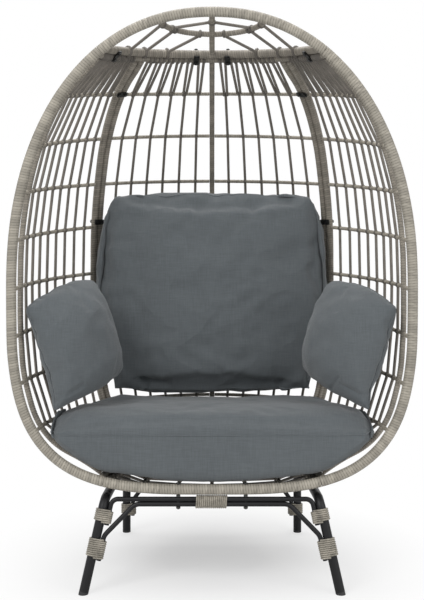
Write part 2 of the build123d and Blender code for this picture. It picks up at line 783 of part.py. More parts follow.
def front_leg_at(height):
    return front_foot + front_leg_up * (height / front_leg_up.Z)


def back_leg_at(height):
    return back_foot + upright * height


def rail_at(place_y):
    return front_corner + rail_back * ((place_y - front_corner.Y) / rail_back.Y)


def flipped(point):
    return Vector(-point.X, point.Y, point.Z)


def bent_bar(half_points, radii):
    """A bar's path across the chair, from its right half's points, the outer end first."""
    points = [*half_points, *[flipped(point) for point in reversed(half_points)]]
    return FilletPolyline(*points, radius=[*radii, *reversed(radii)])


front_side, back_side, rail_side = inward(front_leg_up), inward(upright), inward(rail_back)
side_tube_path = FilletPolyline(
    front_foot + front_leg_up * foot_head_height,
    front_corner,
    back_corner,
    back_foot + upright * foot_head_height,
    radius=leg_bend_radius,
)
side_tube = tubes([side_tube_path], leg_radius, leg_radius - leg_wall)[0]

# Crossbars run down the front legs, and forward along the rails at the back
upper_low = upper_binding_height - upper_binding_length / 2
front_knee = front_leg_at(front_bar_height) + front_side * side_by_side
front_knee = Vector(front_knee.X, rim_y, front_bar_height)
front_bar_end = front_leg_at(upper_low - binding_tail) + front_side * side_by_side
back_knee = rail_at(back_bar_y) + rail_side * side_by_side
back_knee = Vector(back_knee.X, back_bar_y, back_bar_height)
rail_binding_start = back_bar_y - bar_end_radius - binding_tail - upper_binding_length
back_bar_end = rail_at(rail_binding_start - binding_tail) + rail_side * side_by_side
front_bar = tubes([bent_bar([front_bar_end, front_knee], [bar_end_radius])], bar_radius)[0]
back_bar = tubes([bent_bar([back_bar_end, back_knee], [bar_end_radius])], bar_radius)[0]

# Braces run up from the legs' lower bindings to a flat middle
front_low = front_lower_binding_height - lower_binding_length / 2
front_high = front_low + lower_binding_length + brace_run_out
back_low = back_lower_binding_height - back_binding_length / 2
back_high = back_low + back_binding_length + brace_run_out
front_brace_half = [
    front_leg_at(front_low - binding_tail) + front_side * side_by_side,
    front_leg_at(front_high) + front_side * side_by_side,
    Vector(front_brace_flat_reach, rim_y, front_bar_height - bar_spacing),
]
back_brace_half = [
    back_leg_at(back_low - binding_tail) + back_side * side_by_side,
    back_leg_at(back_high) + back_side * side_by_side,
    Vector(back_brace_flat_reach, back_y, back_brace_height),
]
front_brace = tubes([bent_bar(front_brace_half, [brace_bend_radius] * 2)], bar_radius)[0]
back_brace = tubes([bent_bar(back_brace_half, [brace_bend_radius] * 2)], bar_radius)[0]

finish("right_leg_frame", [side_tube])
finish("left_leg_frame", mirrored([side_tube]))
finish("front_crossbar", [drilled(front_bar, front_shell_drills)])
finish("back_crossbar", [drilled(back_bar, back_shell_drills)])
finish("front_brace", [drilled(front_brace, front_shell_drills)])
finish("back_brace", [back_brace])


def foot_plug(foot, heading):
    """A plug in the leg's open end. Its head is cut flat on the floor."""
    top = foot + heading * foot_head_height
    with BuildPart(Plane(top, z_dir=heading)) as plug:
        Cylinder(leg_radius, foot_head_height + leg_radius, align=(Align.CENTER, Align.CENTER, Align.MAX))
        Cylinder(
            leg_radius - leg_wall - joint_gap, foot_stem_length, align=(Align.CENTER, Align.CENTER, Align.MIN)
        )
        split(bisect_by=Plane.XY)
    return plug.part.solid()


for name, foot, heading in (("front", front_foot, front_leg_up), ("back", back_foot, upright)):
    plug = foot_plug(foot, heading)
    finish(f"{name}_right_foot", [plug])
    finish(f"{name}_left_foot", mirrored([plug]))


def binding_path(start, heading, toward, first_radius, second_radius, spacing, length):
    """A strip wound round two bars side by side: a belt that climbs evenly along them."""
    frame = Plane(start, x_dir=toward, z_dir=heading)
    first = first_radius + joint_gap + binding_wire_diameter / 2
    second = second_radius + joint_gap + binding_wire_diameter / 2
    slant = asin((first - second) / spacing)
    straight, around_first = spacing * cos(slant), first * (pi / 2 + slant)
    around_second = second * (pi - 2 * slant)
    loop_length = 2 * straight + 2 * around_first + around_second
    climb = binding_pitch / loop_length
    stops = (
        (first * sin(slant), first * cos(slant), cos(slant), -sin(slant), straight),
        (spacing + second * sin(slant), second * cos(slant), cos(slant), -sin(slant), around_second),
        (spacing + second * sin(slant), -second * cos(slant), -cos(slant), -sin(slant), straight),
        (first * sin(slant), -first * cos(slant), -cos(slant), -sin(slant), around_first),
        (-first, 0, 0, 1, around_first),
    )
    turns = int((length - binding_wire_diameter) / binding_pitch)
    places, travel = [], binding_wire_diameter / 2 / climb
    for _ in range(turns):
        for x, y, heading_x, heading_y, step in stops:
            places.append((Vector(x, y, travel * climb), direction(Vector(heading_x, heading_y, climb))))
            travel += step
    for x, y, heading_x, heading_y, step in stops[:2]:
        places.append((Vector(x, y, travel * climb), direction(Vector(heading_x, heading_y, climb))))
        travel += step
    places = [
        (
            frame.from_local_coords(point),
            frame.from_local_coords(point + way) - frame.from_local_coords(point),
        )
        for point, way in places
    ]
    edges = []
    for here in range(len(places) - 1):
        (point, way), (next_point, next_way) = places[here], places[here + 1]
        if here % len(stops) in (0, 2):
            edges.append(Line(point, next_point))
        else:
            edges += biarc(point, way, next_point, next_way)
    return edges, turns


def least_self_gap(edges, turns, per_edge=4):
    """The least gap between one turn of a wound strip and the next."""
    spots = [tuple(edge @ (step / per_edge)) for edge in edges for step in range(per_edge)]
    loop = len(spots) // turns
    gaps = [
        dist(spot, other)
        for here, spot in enumerate(spots)
        for other in spots[here + loop // 2 : here + loop * 3 // 2]
    ]
    return min(gaps) - binding_wire_diameter


def bind(name, start, heading, toward, first_radius, second_radius, spacing, length):
    edges, turns = binding_path(start, heading, toward, first_radius, second_radius, spacing, length)
    print(f"{name}: {turns} turns, least gap {least_self_gap(edges, turns):.2f}")
    return tubes([Wire(edges)], binding_wire_diameter / 2)


leg_ties = {
    "front_upper": (front_leg_at(upper_low), front_leg_up, front_side, upper_binding_length),
    "front_lower": (front_leg_at(front_low), front_leg_up, front_side, lower_binding_length),
    "back_upper": (rail_at(rail_binding_start), rail_back, rail_side, upper_binding_length),
    "back_lower": (back_leg_at(back_low), upright, back_side, back_binding_length),
}
for name, (start, heading, toward, length) in leg_ties.items():
    winding = bind(name, start, heading, toward, leg_radius, bar_radius, side_by_side, length)
    finish(f"{name}_right_binding", winding)
    finish(f"{name}_left_binding", mirrored(winding))
centre_start = Vector(-centre_binding_length / 2, rim_y, front_bar_height)
centre_winding = bind(
    "front_centre", centre_start, Vector(1, 0, 0), Vector(0, 0, -1), bar_radius, bar_radius, bar_spacing,
    centre_binding_length,
)
finish("front_centre_binding", centre_winding)


def pad(sections):
    """A crowned soft solid through closed outlines of arcs, each a plane and its arcs' points."""
    with BuildPart() as body:
        for plane, points in sections:
            with BuildSketch(plane):
                with BuildLine():
                    for start in range(0, len(points), 2):
                        ThreePointArc(points[start], points[start + 1], points[(start + 2) % len(points)])
                make_face()
        loft()
    return body.part.solid()


def lens(half_width, under, edge, top, edge_half):
    """The points of a crowned outline: underside, side, top, side."""
    bulge, low, high = edge_half * side_bulge_share, edge - edge_half, edge + edge_half
    return [
        (-half_width, low), (0, under), (half_width, low), (half_width + bulge, edge),
        (half_width, high), (0, top), (-half_width, high), (-half_width - bulge, edge),
    ]


def boat(half_width, under, edge, top, edge_half, shoulder, rise, roundness):
    """The same outline with a flatter underside that turns up at two shoulders."""
    points = lens(half_width, under, edge, top, edge_half)
    low = edge - edge_half
    climb = low - under - rise
    corner_x = (shoulder + half_width) / 2 + climb * roundness
    corner_z = under + rise + climb / 2 - (half_width - shoulder) * roundness
    right = [(shoulder, under + rise), (corner_x, corner_z)]
    left = [(-corner_x, corner_z), (-shoulder, under + rise)]
    return [left[1], (0, under), *right, *points[2:], points[0], left[0]]


# Seat cushion, in the dish of the seat and on the rim's bottom
seat_floor = rim_bottom_height + rim_radius
back_floor = (back_bar_spot + back_bolt_up * (bar_radius + back_bar_room + 2 * frame_radius)).Z
seat_fall = (seat_floor - back_floor) / (back_bar_spot.Y - rim_y)
seat_sections = []
for station, wide, under, shoulder, rise, roundness, top, edge in zip(
    seat_station_shares, seat_width_shares, seat_under_shares, seat_shoulder_shares,
    seat_shoulder_rise_shares, seat_round_shares, seat_top_shares, seat_edge_shares,
):
    behind = station * seat_cushion_depth - seat_cushion_front
    half_width = seat_cushion_half_width * wide
    outline = boat(
        half_width,
        seat_floor + joint_gap - seat_fall * max(behind, 0) + seat_cushion_height * under,
        seat_floor + seat_cushion_height * edge,
        seat_floor + seat_cushion_height * top,
        seat_cushion_edge / 2,
        half_width * shoulder,
        seat_cushion_height * rise,
        roundness,
    )
    seat_sections.append((Plane((0, rim_y + behind, 0), x_dir=(1, 0, 0), z_dir=(0, -1, 0)), outline))
finish("seat_cushion", [pad(seat_sections)])

# Back cushion, upright behind the sitter
back_foot = seat_floor + seat_cushion_height * back_cushion_foot_share
back_sections = []
for station, wide, full, shift in zip(
    back_station_shares, back_width_shares, back_fullness_shares, back_shift_shares
):
    behind = back_cushion_behind_rim + back_cushion_front * shift
    plane = Plane(
        (0, rim_y + behind, back_foot + back_cushion_height * station), x_dir=(1, 0, 0), z_dir=(0, 0, 1)
    )
    centre = (back_cushion_back - back_cushion_front) / 2 * (1 - full) * back_middle_share
    outline = lens(
        back_cushion_half_width * wide,
        centre - back_cushion_front * full,
        0,
        centre + back_cushion_back * full,
        back_cushion_edge / 2,
    )
    back_sections.append((plane, outline))
finish("back_cushion", [pad(back_sections)])

# Pillows, each turned to the sitter, leant back and rolled a little in its own plane
turn, lean, roll = radians(pillow_turn), radians(pillow_lean), radians(pillow_roll)
level = Vector(-cos(turn), sin(turn), 0)
facing = direction(Vector(-sin(turn) * cos(lean), -cos(turn) * cos(lean), sin(lean)))
standing = direction(facing.cross(level)) * (1 if facing.cross(level).Z > 0 else -1)
width_way = level * cos(roll) + standing * sin(roll)
height_way = standing * cos(roll) - level * sin(roll)
pillow_middle = Vector(pillow_reach, rim_y + pillow_behind_rim, pillow_height)
pillow_sections = []
for station, wide, full in zip(pillow_station_shares, pillow_width_shares, pillow_fullness_shares):
    plane = Plane(
        pillow_middle + height_way * (pillow_half_width * station), x_dir=width_way, z_dir=height_way
    )
    outward = plane.y_dir.dot(facing)
    front, back = pillow_front * full, pillow_back * full
    near, far = (back, front) if outward > 0 else (front, back)
    pillow_sections.append((plane, lens(pillow_half_width * wide, -near, 0, far, pillow_edge / 2)))
pillow = pad(pillow_sections)
finish("right_pillow", [pillow])
finish("left_pillow", mirrored([pillow]))
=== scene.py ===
import math
from collections import namedtuple
from functools import cache, partial

import bmesh
import bpy
import numpy as np
from bpy.props import FloatProperty, FloatVectorProperty, IntProperty, PointerProperty
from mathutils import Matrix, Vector, noise
from mathutils.bvhtree import BVHTree
from mathutils.kdtree import KDTree


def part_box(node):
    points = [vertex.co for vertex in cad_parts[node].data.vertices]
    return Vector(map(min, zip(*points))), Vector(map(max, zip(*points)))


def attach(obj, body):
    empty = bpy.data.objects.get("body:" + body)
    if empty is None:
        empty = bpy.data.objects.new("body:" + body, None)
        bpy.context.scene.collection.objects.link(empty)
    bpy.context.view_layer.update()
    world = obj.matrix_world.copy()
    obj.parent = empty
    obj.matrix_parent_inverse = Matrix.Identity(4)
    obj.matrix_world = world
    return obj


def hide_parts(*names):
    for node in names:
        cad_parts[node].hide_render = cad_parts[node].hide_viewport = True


bl_info = {
    "name": "Wicker egg chair",
    "version": (1, 0, 0),
    "blender": (4, 5, 0),
    "location": "3D View > Sidebar > Egg chair",
    "description": "Dresses a wicker egg chair: wound tubes, woven strands, base and cushions",
    "category": "Object",
}

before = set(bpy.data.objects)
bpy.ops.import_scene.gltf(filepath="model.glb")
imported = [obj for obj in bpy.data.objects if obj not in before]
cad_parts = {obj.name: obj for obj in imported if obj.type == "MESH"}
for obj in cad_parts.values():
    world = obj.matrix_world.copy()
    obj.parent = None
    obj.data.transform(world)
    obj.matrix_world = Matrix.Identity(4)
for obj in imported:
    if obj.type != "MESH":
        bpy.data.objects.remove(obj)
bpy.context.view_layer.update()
ROOT = "root"
SIDES = ("left", "right")
FULL_TURN = 2 * math.pi

# Outer radius and bore of each kind of bar. A solid rod is found by its outside.
Bar = namedtuple("Bar", "radius bore")
RIM = Bar(0.0140, 0.0095)
CAP = Bar(0.0120, 0.0075)
SEAM = Bar(0.0100, 0.0055)
LIGHT = Bar(0.0080, 0.0080)
HOOP = Bar(0.0055, 0.0055)
STRAND = Bar(0.0042, 0.0042)


# Sizes and colours that a user would change


def length(name, text, value):
    return FloatProperty(
        name=name, description=text, default=value, min=0.0, unit="LENGTH", precision=4
    )


def colour(name, text, value):
    return FloatVectorProperty(
        name=name, description=text, default=value, subtype="COLOR", size=3, min=0, max=1
    )


class EggChairWicker(bpy.types.PropertyGroup):
    """Sizes and colours of the wound wicker."""

    strip_pitch: length("Strip pitch", "Width of one turn of the strip on a tube", 0.0072)
    strip_groove: length("Strip groove", "Depth of the groove between two turns", 0.0008)
    hoop_pitch: length("Hoop pitch", "Width of one turn of the strip on a hoop", 0.0060)
    tie_thickness: length("Tie thickness", "Thickness of a strand that wraps a hoop", 0.0022)
    strand_width: length("Strand width", "Width of an upright strand", 0.0084)
    sides: IntProperty(
        name="Sides", description="Faces round a wound tube", default=12, min=6, max=32
    )
    pale: colour("Pale strip", "Strip on the rim and the bindings", (0.335, 0.308, 0.258))
    # A darker copy of the pale strip for the posts, seam tubes and cap tubes: painted shade
    shade_painted: colour("Strip with painted shade", "Strip on the posts and seam tubes", (0.245, 0.221, 0.184))
    hoop: colour("Hoop strip", "Strip on the hoops", (0.330, 0.300, 0.250))
    strand: colour("Strand", "Upright strands", (0.165, 0.148, 0.127))


class EggChairCloth(bpy.types.PropertyGroup):
    """Sizes and colours of the cushions."""

    inset: length("Inset", "How much smaller a cushion starts before it is filled", 0.0015)
    welt_radius: length("Seam radius", "Half the thickness of the turned seam", 0.0019)
    stitch_pitch: length("Stitch pitch", "Distance from stitch to stitch", 0.0055)
    thread: length("Thread", "Width of one thread of the weave", 0.0011)
    pressure: FloatProperty(name="Pressure", description="Filling pressure", default=4.0, min=0.0)
    cloth: colour("Cloth", "Woven outdoor cloth", (0.106, 0.119, 0.127))


class EggChairBase(bpy.types.PropertyGroup):
    """Colours of the metal and the feet."""

    coat: colour("Powder coat", "Black powder coat of the base", (0.008, 0.008, 0.009))
    zinc: colour("Fasteners", "Dark zinc of bolts and brackets", (0.060, 0.060, 0.058))
    foot: colour("Feet", "Moulded foot plugs", (0.020, 0.020, 0.021))


class EggChairStage(bpy.types.PropertyGroup):
    """Floor and camera."""

    camera_distance: length("Camera distance", "From the camera to the chair's rim", 2.500)
    camera_height: length("Camera height", "Height of the camera above the floor", 0.884)
    focal: FloatProperty(
        name="Focal length", description="Lens on a 36 mm sensor", default=56.2, min=1.0
    )
    horizon: FloatProperty(
        name="Horizon shift", description="Share of the picture's height", default=-0.0708
    )
    floor: colour("Floor", "Pale floor", (0.92, 0.92, 0.92))


# Node trees, written as calls

REAL, WHOLE, SPOT = "NodeSocketFloat", "NodeSocketInt", "NodeSocketVector"
SHAPE, FINISH = "NodeSocketGeometry", "NodeSocketMaterial"


def feed(tree, node, inputs):
    """Set or link a node's inputs. An input is a value or another node's socket."""
    for key, value in inputs.items():
        if isinstance(value, bpy.types.NodeSocket):
            tree.links.new(value, node.inputs[key])
        else:
            node.inputs[key].default_value = value


def add_node(tree, kind, inputs=None, **settings):
    """The outputs of a new node with its settings and inputs."""
    made = tree.nodes.new(kind)
    for key, value in settings.items():
        setattr(made, key, value)
    feed(tree, made, inputs or {})
    return made.outputs


def first_of(tree, kind, inputs=None, **settings):
    """The first output of a new node."""
    return add_node(tree, kind, inputs, **settings)[0]


def calc(tree, operation, *values):
    return first_of(tree, "ShaderNodeMath", dict(enumerate(values)), operation=operation)


def chain(operation):
    """A function that puts values together from left to right with one math operation."""

    def chained(tree, first, *others):
        for value in others:
            first = calc(tree, operation, first, value)
        return first

    return chained


plus, minus, times, over = map(chain, ("ADD", "SUBTRACT", "MULTIPLY", "DIVIDE"))


def vector_calc(tree, operation, *values):
    inputs = dict(enumerate(values))
    return first_of(tree, "ShaderNodeVectorMath", inputs, operation=operation)


def axes_of(tree, vector):
    return add_node(tree, "ShaderNodeSeparateXYZ", {0: vector})


def spread(tree, value, low, high, to_low=0.0, to_high=1.0):
    """A value carried from one range to another, kept inside it."""
    ends = {"From Min": low, "From Max": high, "To Min": to_low, "To Max": to_high}
    return first_of(tree, "ShaderNodeMapRange", {"Value": value, **ends}, clamp=True)


def new_group(name, kind, inputs, outputs):
    """An empty node group with named sockets, and its ends."""
    tree = bpy.data.node_groups.new(name, kind)
    for way, sockets in (("INPUT", inputs), ("OUTPUT", outputs)):
        for socket, type_name in sockets.items():
            tree.interface.new_socket(name=socket, in_out=way, socket_type=type_name)
    given = tree.nodes.new("NodeGroupInput").outputs
    return tree, given, tree.nodes.new("NodeGroupOutput")


def shape_group(name, sizes):
    """An empty geometry tree with its own sizes beside the shape and the material."""
    inputs = {"Geometry": SHAPE, **sizes, "Material": FINISH}
    return new_group(name, "GeometryNodeTree", inputs, {"Geometry": SHAPE})


def finish_tree(tree, shape, given, out):
    """End a geometry tree with real, smooth faces of its material."""
    real = first_of(tree, "GeometryNodeRealizeInstances", {"Geometry": shape})
    smooth = first_of(tree, "GeometryNodeSetShadeSmooth", {"Geometry": real})
    inputs = {"Geometry": smooth, "Material": given["Material"]}
    feed(tree, out, {"Geometry": first_of(tree, "GeometryNodeSetMaterial", inputs)})
    return tree


def unit_grid(tree, columns, rows):
    """A grid of one by one, and the X and Y of its points from -0.5 to 0.5."""
    counts = {"Vertices X": columns, "Vertices Y": rows}
    grid = first_of(tree, "GeometryNodeMeshGrid", counts)
    axes = axes_of(tree, first_of(tree, "GeometryNodeInputPosition"))
    return grid, axes["X"], axes["Y"]


def rolled_up(tree, grid, spot, weld):
    """A grid moved to new places, with the edges that meet welded."""
    moved = first_of(tree, "GeometryNodeSetPosition", {"Geometry": grid, "Position": spot})
    return first_of(tree, "GeometryNodeMergeByDistance", {"Geometry": moved, "Distance": weld})


def copies_at(tree, points, shape, turned, size):
    """A copy of a shape at each point."""
    inputs = {"Points": points, "Instance": shape, "Rotation": turned, "Scale": size}
    return first_of(tree, "GeometryNodeInstanceOnPoints", inputs)


RINGS_PER_TURN = 6
GROOVE_SHARPNESS = 5.0
TUBE_WELD = 0.00002


@cache
def wound_tube_tree():
    """A tube along a curve, with the screw-shaped groove of the strip that is wound on it."""
    sizes = {"Radius": REAL, "Pitch": REAL, "Groove": REAL, "Sides": WHOLE}
    tree, given, out = shape_group("wound tube", sizes)
    curve = given["Geometry"]
    run = first_of(tree, "GeometryNodeCurveLength", {"Curve": curve})
    turns = calc(tree, "MAXIMUM", calc(tree, "ROUND", over(tree, run, given["Pitch"])), 1.0)
    rings = plus(tree, times(tree, turns, RINGS_PER_TURN), 1.0)
    tube, column, row = unit_grid(tree, rings, plus(tree, given["Sides"], 1.0))
    share, around = plus(tree, column, 0.5), plus(tree, row, 0.5)
    along = times(tree, share, run)
    line = add_node(
        tree, "GeometryNodeSampleCurve", {"Curves": curve, "Length": along},
        mode="LENGTH", use_all_curves=True,
    )
    phase = calc(tree, "FRACT", minus(tree, around, times(tree, share, turns)))
    from_middle = calc(tree, "ABSOLUTE", minus(tree, times(tree, phase, 2.0), 1.0))
    groove = calc(tree, "POWER", from_middle, GROOVE_SHARPNESS)
    reach = minus(tree, given["Radius"], times(tree, groove, given["Groove"]))
    angle = times(tree, around, FULL_TURN)
    side = vector_calc(tree, "CROSS_PRODUCT", line["Tangent"], line["Normal"])
    outward = [
        first_of(
            tree, "ShaderNodeVectorMath",
            {0: way, "Scale": times(tree, reach, calc(tree, wave, angle))}, operation="SCALE",
        )
        for way, wave in ((line["Normal"], "COSINE"), (side, "SINE"))
    ]
    spot = vector_calc(tree, "ADD", line["Position"], vector_calc(tree, "ADD", *outward))
    for name, value in (("along", along), ("groove", groove), ("turn", around)):
        inputs = {"Geometry": tube, "Name": name, "Value": value}
        tube = first_of(
            tree, "GeometryNodeStoreNamedAttribute", inputs, data_type="FLOAT", domain="POINT"
        )
    return finish_tree(tree, rolled_up(tree, tube, spot, TUBE_WELD), given, out)


TIE_SIDES, TIE_ROWS = 14, 5
TIE_FIT = 1.02  # inner radius of a tie, in radii of its bar
TIE_WELD = 0.0001  # in radii of its bar


@cache
def strand_tie_tree():
    """The short wrap that each strand makes round the bar that it meets."""
    tree, given, out = shape_group("strand ties", {"Width": REAL, "Thickness": REAL})
    lie, girth = (
        first_of(tree, "GeometryNodeInputNamedAttribute", {"Name": name}, data_type=kind)
        for name, kind in (("lie", "FLOAT_VECTOR"), ("girth", "FLOAT"))
    )
    collar, column, row = unit_grid(tree, TIE_SIDES + 1, TIE_ROWS + 1)
    angle, across = times(tree, column, FULL_TURN), times(tree, row, 2.0)
    flank = minus(tree, 1.0, times(tree, across, across))
    crown = calc(tree, "SQRT", calc(tree, "MAXIMUM", flank, 0.0))
    thick = times(tree, crown, over(tree, given["Thickness"], HOOP.radius))
    reach = plus(tree, TIE_FIT, thick)
    places = {
        "X": times(tree, reach, calc(tree, "COSINE", angle)),
        "Y": times(tree, reach, calc(tree, "SINE", angle)),
        "Z": row,
    }
    collar = rolled_up(tree, collar, first_of(tree, "ShaderNodeCombineXYZ", places), TIE_WELD)
    turned = first_of(tree, "FunctionNodeAlignEulerToVector", {"Vector": lie}, axis="Z")
    sizes = {"X": girth, "Y": girth, "Z": given["Width"]}
    size = first_of(tree, "ShaderNodeCombineXYZ", sizes)
    ties = copies_at(tree, given["Geometry"], collar, turned, size)
    return finish_tree(tree, ties, given, out)


WELT_STEP = 0.008
WELT_SIDES = 8
STITCH_SHARE = 0.52  # radius of a stitch, in radii of the welt
STITCH_STRETCH = (2.0, 1.0, 1.0)


@cache
def seam_tree():
    """A turned seam along a curve, with its row of stitches."""
    tree, given, out = shape_group("turned seam", {"Radius": REAL, "Stitch Pitch": REAL})
    curve, radius = given["Geometry"], given["Radius"]
    inputs = {"Curve": curve, "Length": WELT_STEP}
    even = first_of(tree, "GeometryNodeResampleCurve", inputs, mode="LENGTH")
    inputs = {"Resolution": WELT_SIDES, "Radius": radius}
    section = first_of(tree, "GeometryNodeCurvePrimitiveCircle", inputs)
    inputs = {"Curve": even, "Profile Curve": section}
    welt = first_of(tree, "GeometryNodeCurveToMesh", inputs)
    inputs = {"Curve": curve, "Length": given["Stitch Pitch"]}
    marks = add_node(tree, "GeometryNodeCurveToPoints", inputs, mode="LENGTH")
    inputs = {"Radius": times(tree, radius, STITCH_SHARE), "Subdivisions": 2}
    bead = first_of(tree, "GeometryNodeMeshIcoSphere", inputs)
    inputs = {"Vector": marks["Tangent"]}
    turned = first_of(tree, "FunctionNodeAlignEulerToVector", inputs, axis="X")
    stitches = copies_at(tree, marks["Points"], bead, turned, STITCH_STRETCH)
    both = tree.nodes.new("GeometryNodeJoinGeometry")
    for shape in (welt, stitches):
        tree.links.new(shape, both.inputs[0])
    return finish_tree(tree, both.outputs[0], given, out)


# Shared shader groups. A texture's scale is in waves per metre.


def speckle(tree, vector, scale, detail, roughness=0.5):
    inputs = {"Vector": vector, "Scale": scale, "Detail": detail, "Roughness": roughness}
    return first_of(tree, "ShaderNodeTexNoise", inputs)


@cache
def grain_group():
    """Fine grain of extruded resin, powder coat or moulded plastic."""
    tree, given, out = new_group(
        "fine grain", "ShaderNodeTree",
        {"Coordinates": SPOT, "Scale": REAL, "Patch Scale": REAL},
        {"Height": REAL, "Patches": REAL},
    )
    fine = speckle(tree, given["Coordinates"], given["Scale"], detail=3.0, roughness=0.6)
    patches = speckle(
        tree, given["Coordinates"], given["Patch Scale"], detail=4.0, roughness=0.55
    )
    feed(tree, out, {"Height": fine, "Patches": spread(tree, patches, low=0.3, high=0.7)})
    return tree


@cache
def strip_group():
    """Tone of a wound strip: turn to turn variation, painted shade in the grooves and fine grain.
    """
    tree, given, out = new_group(
        "wound strip", "ShaderNodeTree",
        {"Along": REAL, "Groove": REAL, "Turn": REAL, "Coordinates": SPOT, "Pitch": REAL},
        {"Tone": REAL, "Height": REAL, "Dirt": REAL},
    )
    slow_scale, fine_scale = 14.0, 420.0
    turn_share, slow_share, fine_share = 0.34, 0.36, 0.30
    fine_depth, groove_depth = 0.4, 0.6
    wound = minus(tree, over(tree, given["Along"], given["Pitch"]), given["Turn"])
    one_way = {"noise_dimensions": "1D"}
    inputs = {"W": calc(tree, "FLOOR", wound)}
    each = add_node(tree, "ShaderNodeTexWhiteNoise", inputs, **one_way)["Value"]
    inputs = {"W": times(tree, given["Along"], slow_scale), "Scale": 1.0}
    slow = first_of(tree, "ShaderNodeTexNoise", inputs, **one_way)
    fine = speckle(tree, given["Coordinates"], fine_scale, detail=3.0)
    wavering = plus(tree, times(tree, slow, slow_share), times(tree, fine, fine_share))
    depth = times(tree, given["Groove"], groove_depth)
    outputs = {
        "Tone": plus(tree, times(tree, each, turn_share), wavering),
        "Height": minus(tree, times(tree, fine, fine_depth), depth),
        # Painted shade: a mask of the grooves between turns, where the strip is darkened
        "Dirt": spread(tree, given["Groove"], low=0.15, high=0.95),
    }
    feed(tree, out, outputs)
    return tree


@cache
def weave_group():
    """A plain weave with slubs, laid on whichever plane the surface faces."""
    tree, given, out = new_group(
        "plain weave", "ShaderNodeTree",
        {"Coordinates": SPOT, "Normal": SPOT, "Thread": REAL},
        {"Height": REAL, "Slubs": REAL},
    )
    along_scale, across_scale, depth_scale = 26.0, 760.0, 60.0
    plane_sharpness, cell_height, streak_share = 4.0, 0.25, 0.5
    spot, facing = axes_of(tree, given["Coordinates"]), axes_of(tree, given["Normal"])
    wave, weight = {}, {}
    for axis in "XYZ":
        threads = over(tree, spot[axis], given["Thread"])
        wave[axis] = calc(tree, "SINE", times(tree, threads, math.pi))
        weight[axis] = calc(tree, "POWER", calc(tree, "ABSOLUTE", facing[axis]), plane_sharpness)
    total = plus(tree, weight["X"], weight["Y"], weight["Z"])
    height, slubs = 0.0, 0.0
    for axis, (one, two) in {"X": "YZ", "Y": "XZ", "Z": "XY"}.items():
        share = over(tree, weight[axis], total)
        height = plus(tree, height, times(tree, wave[one], wave[two], share))
        for long, short in ((one, two), (two, one)):
            stretch = {axis: depth_scale, long: along_scale, short: across_scale}
            scale = (stretch["X"], stretch["Y"], stretch["Z"])
            laid = vector_calc(tree, "MULTIPLY", given["Coordinates"], scale)
            streak = speckle(tree, laid, 1.0, detail=2.0)
            slubs = plus(tree, slubs, times(tree, streak, share, streak_share))
    height = plus(tree, times(tree, height, cell_height), slubs)
    feed(tree, out, {"Height": height, "Slubs": spread(tree, slubs, low=0.38, high=0.62)})
    return tree


# Finishes

# Grain and patches in waves per metre, roughness, depth of the bump, how far the tone varies
PLAIN_FINISHES = {
    "binding wicker": {
        "grain": 700.0, "patch": 60.0, "roughness": 0.55, "depth": 0.0003, "contrast": 0.35,
    },
    "powder coat": {
        "grain": 1500.0, "patch": 12.0, "roughness": 0.45, "depth": 0.00012, "shine": 0.3,
    },
    "dark zinc": {
        "grain": 900.0, "patch": 40.0, "roughness": 0.38, "depth": 0.0001, "metallic": 0.9,
    },
    "foot plastic": {"grain": 1100.0, "patch": 25.0, "roughness": 0.5, "depth": 0.0001},
}
BINDING_TONE, TIE_TONE = 0.92, 0.72  # beside the rim's strip and the strands
# The groove tone and share darken the strip in the grooves between its turns: painted shade
STRIP_TONES, GROOVE_SHADE_TONE, GROOVE_SHADE_SHARE = (0.52, 1.55), 0.22, 0.85
STRAND_TONES = (0.62, 1.42)
CLOTH_TONES, FADED_TONE, FADED_SHARE = (0.88, 1.12), 1.5, 0.16
STRAND_STRETCH = (900.0, 900.0, 40.0)
ROUGHNESS_RANGE = 0.06


def new_material(name):
    """A material with only a Principled BSDF, its output and object coordinates."""
    material = bpy.data.materials.new(name)
    material.use_nodes = True
    tree = material.node_tree
    tree.nodes.clear()
    shader = tree.nodes.new("ShaderNodeBsdfPrincipled")
    output = tree.nodes.new("ShaderNodeOutputMaterial")
    tree.links.new(shader.outputs[0], output.inputs["Surface"])
    place = tree.nodes.new("ShaderNodeTexCoord").outputs["Object"]
    return material, tree, shader, place


def placed_group(tree, group, inputs):
    """The outputs of a shared group placed in a material with its own values."""
    return add_node(tree, "ShaderNodeGroup", inputs, node_tree=group)


def blend_colours(tree, factor, low, high):
    mixed = tree.nodes.new("ShaderNodeMix")
    mixed.data_type = "RGBA"
    ends = {
        key: value if isinstance(value, bpy.types.NodeSocket) else (*value, 1.0)
        for key, value in ((6, low), (7, high))
    }
    feed(tree, mixed, {"Factor": factor, **ends})
    return mixed.outputs[2]


def bump(tree, height, strength, distance):
    inputs = {"Height": height, "Strength": strength, "Distance": distance}
    return first_of(tree, "ShaderNodeBump", inputs)


def tinted(tint, factor):
    return tuple(min(1.0, part * factor) for part in tint)


def wound_material(name, tint, pitch):
    """Resin wicker strip wound on a tube."""
    material, tree, shader, place = new_material(name)
    inputs = {"Coordinates": place, "Pitch": pitch}
    for key in ("along", "groove", "turn"):
        reader = {"attribute_name": key, "attribute_type": "GEOMETRY"}
        inputs[key.title()] = add_node(tree, "ShaderNodeAttribute", **reader)["Fac"]
    strip = placed_group(tree, strip_group(), inputs)
    body = blend_colours(tree, strip["Tone"], *(tinted(tint, tone) for tone in STRIP_TONES))
    # Painted shade in the grooves between turns
    groove_shade = times(tree, strip["Dirt"], GROOVE_SHADE_SHARE)
    inputs = {
        "Base Color": blend_colours(tree, groove_shade, body, tinted(tint, GROOVE_SHADE_TONE)),
        "Roughness": spread(tree, strip["Tone"], 0.2, 0.8, to_low=0.62, to_high=0.50),
        "Normal": bump(tree, strip["Height"], strength=0.5, distance=0.0006),
    }
    feed(tree, shader, inputs)
    return material


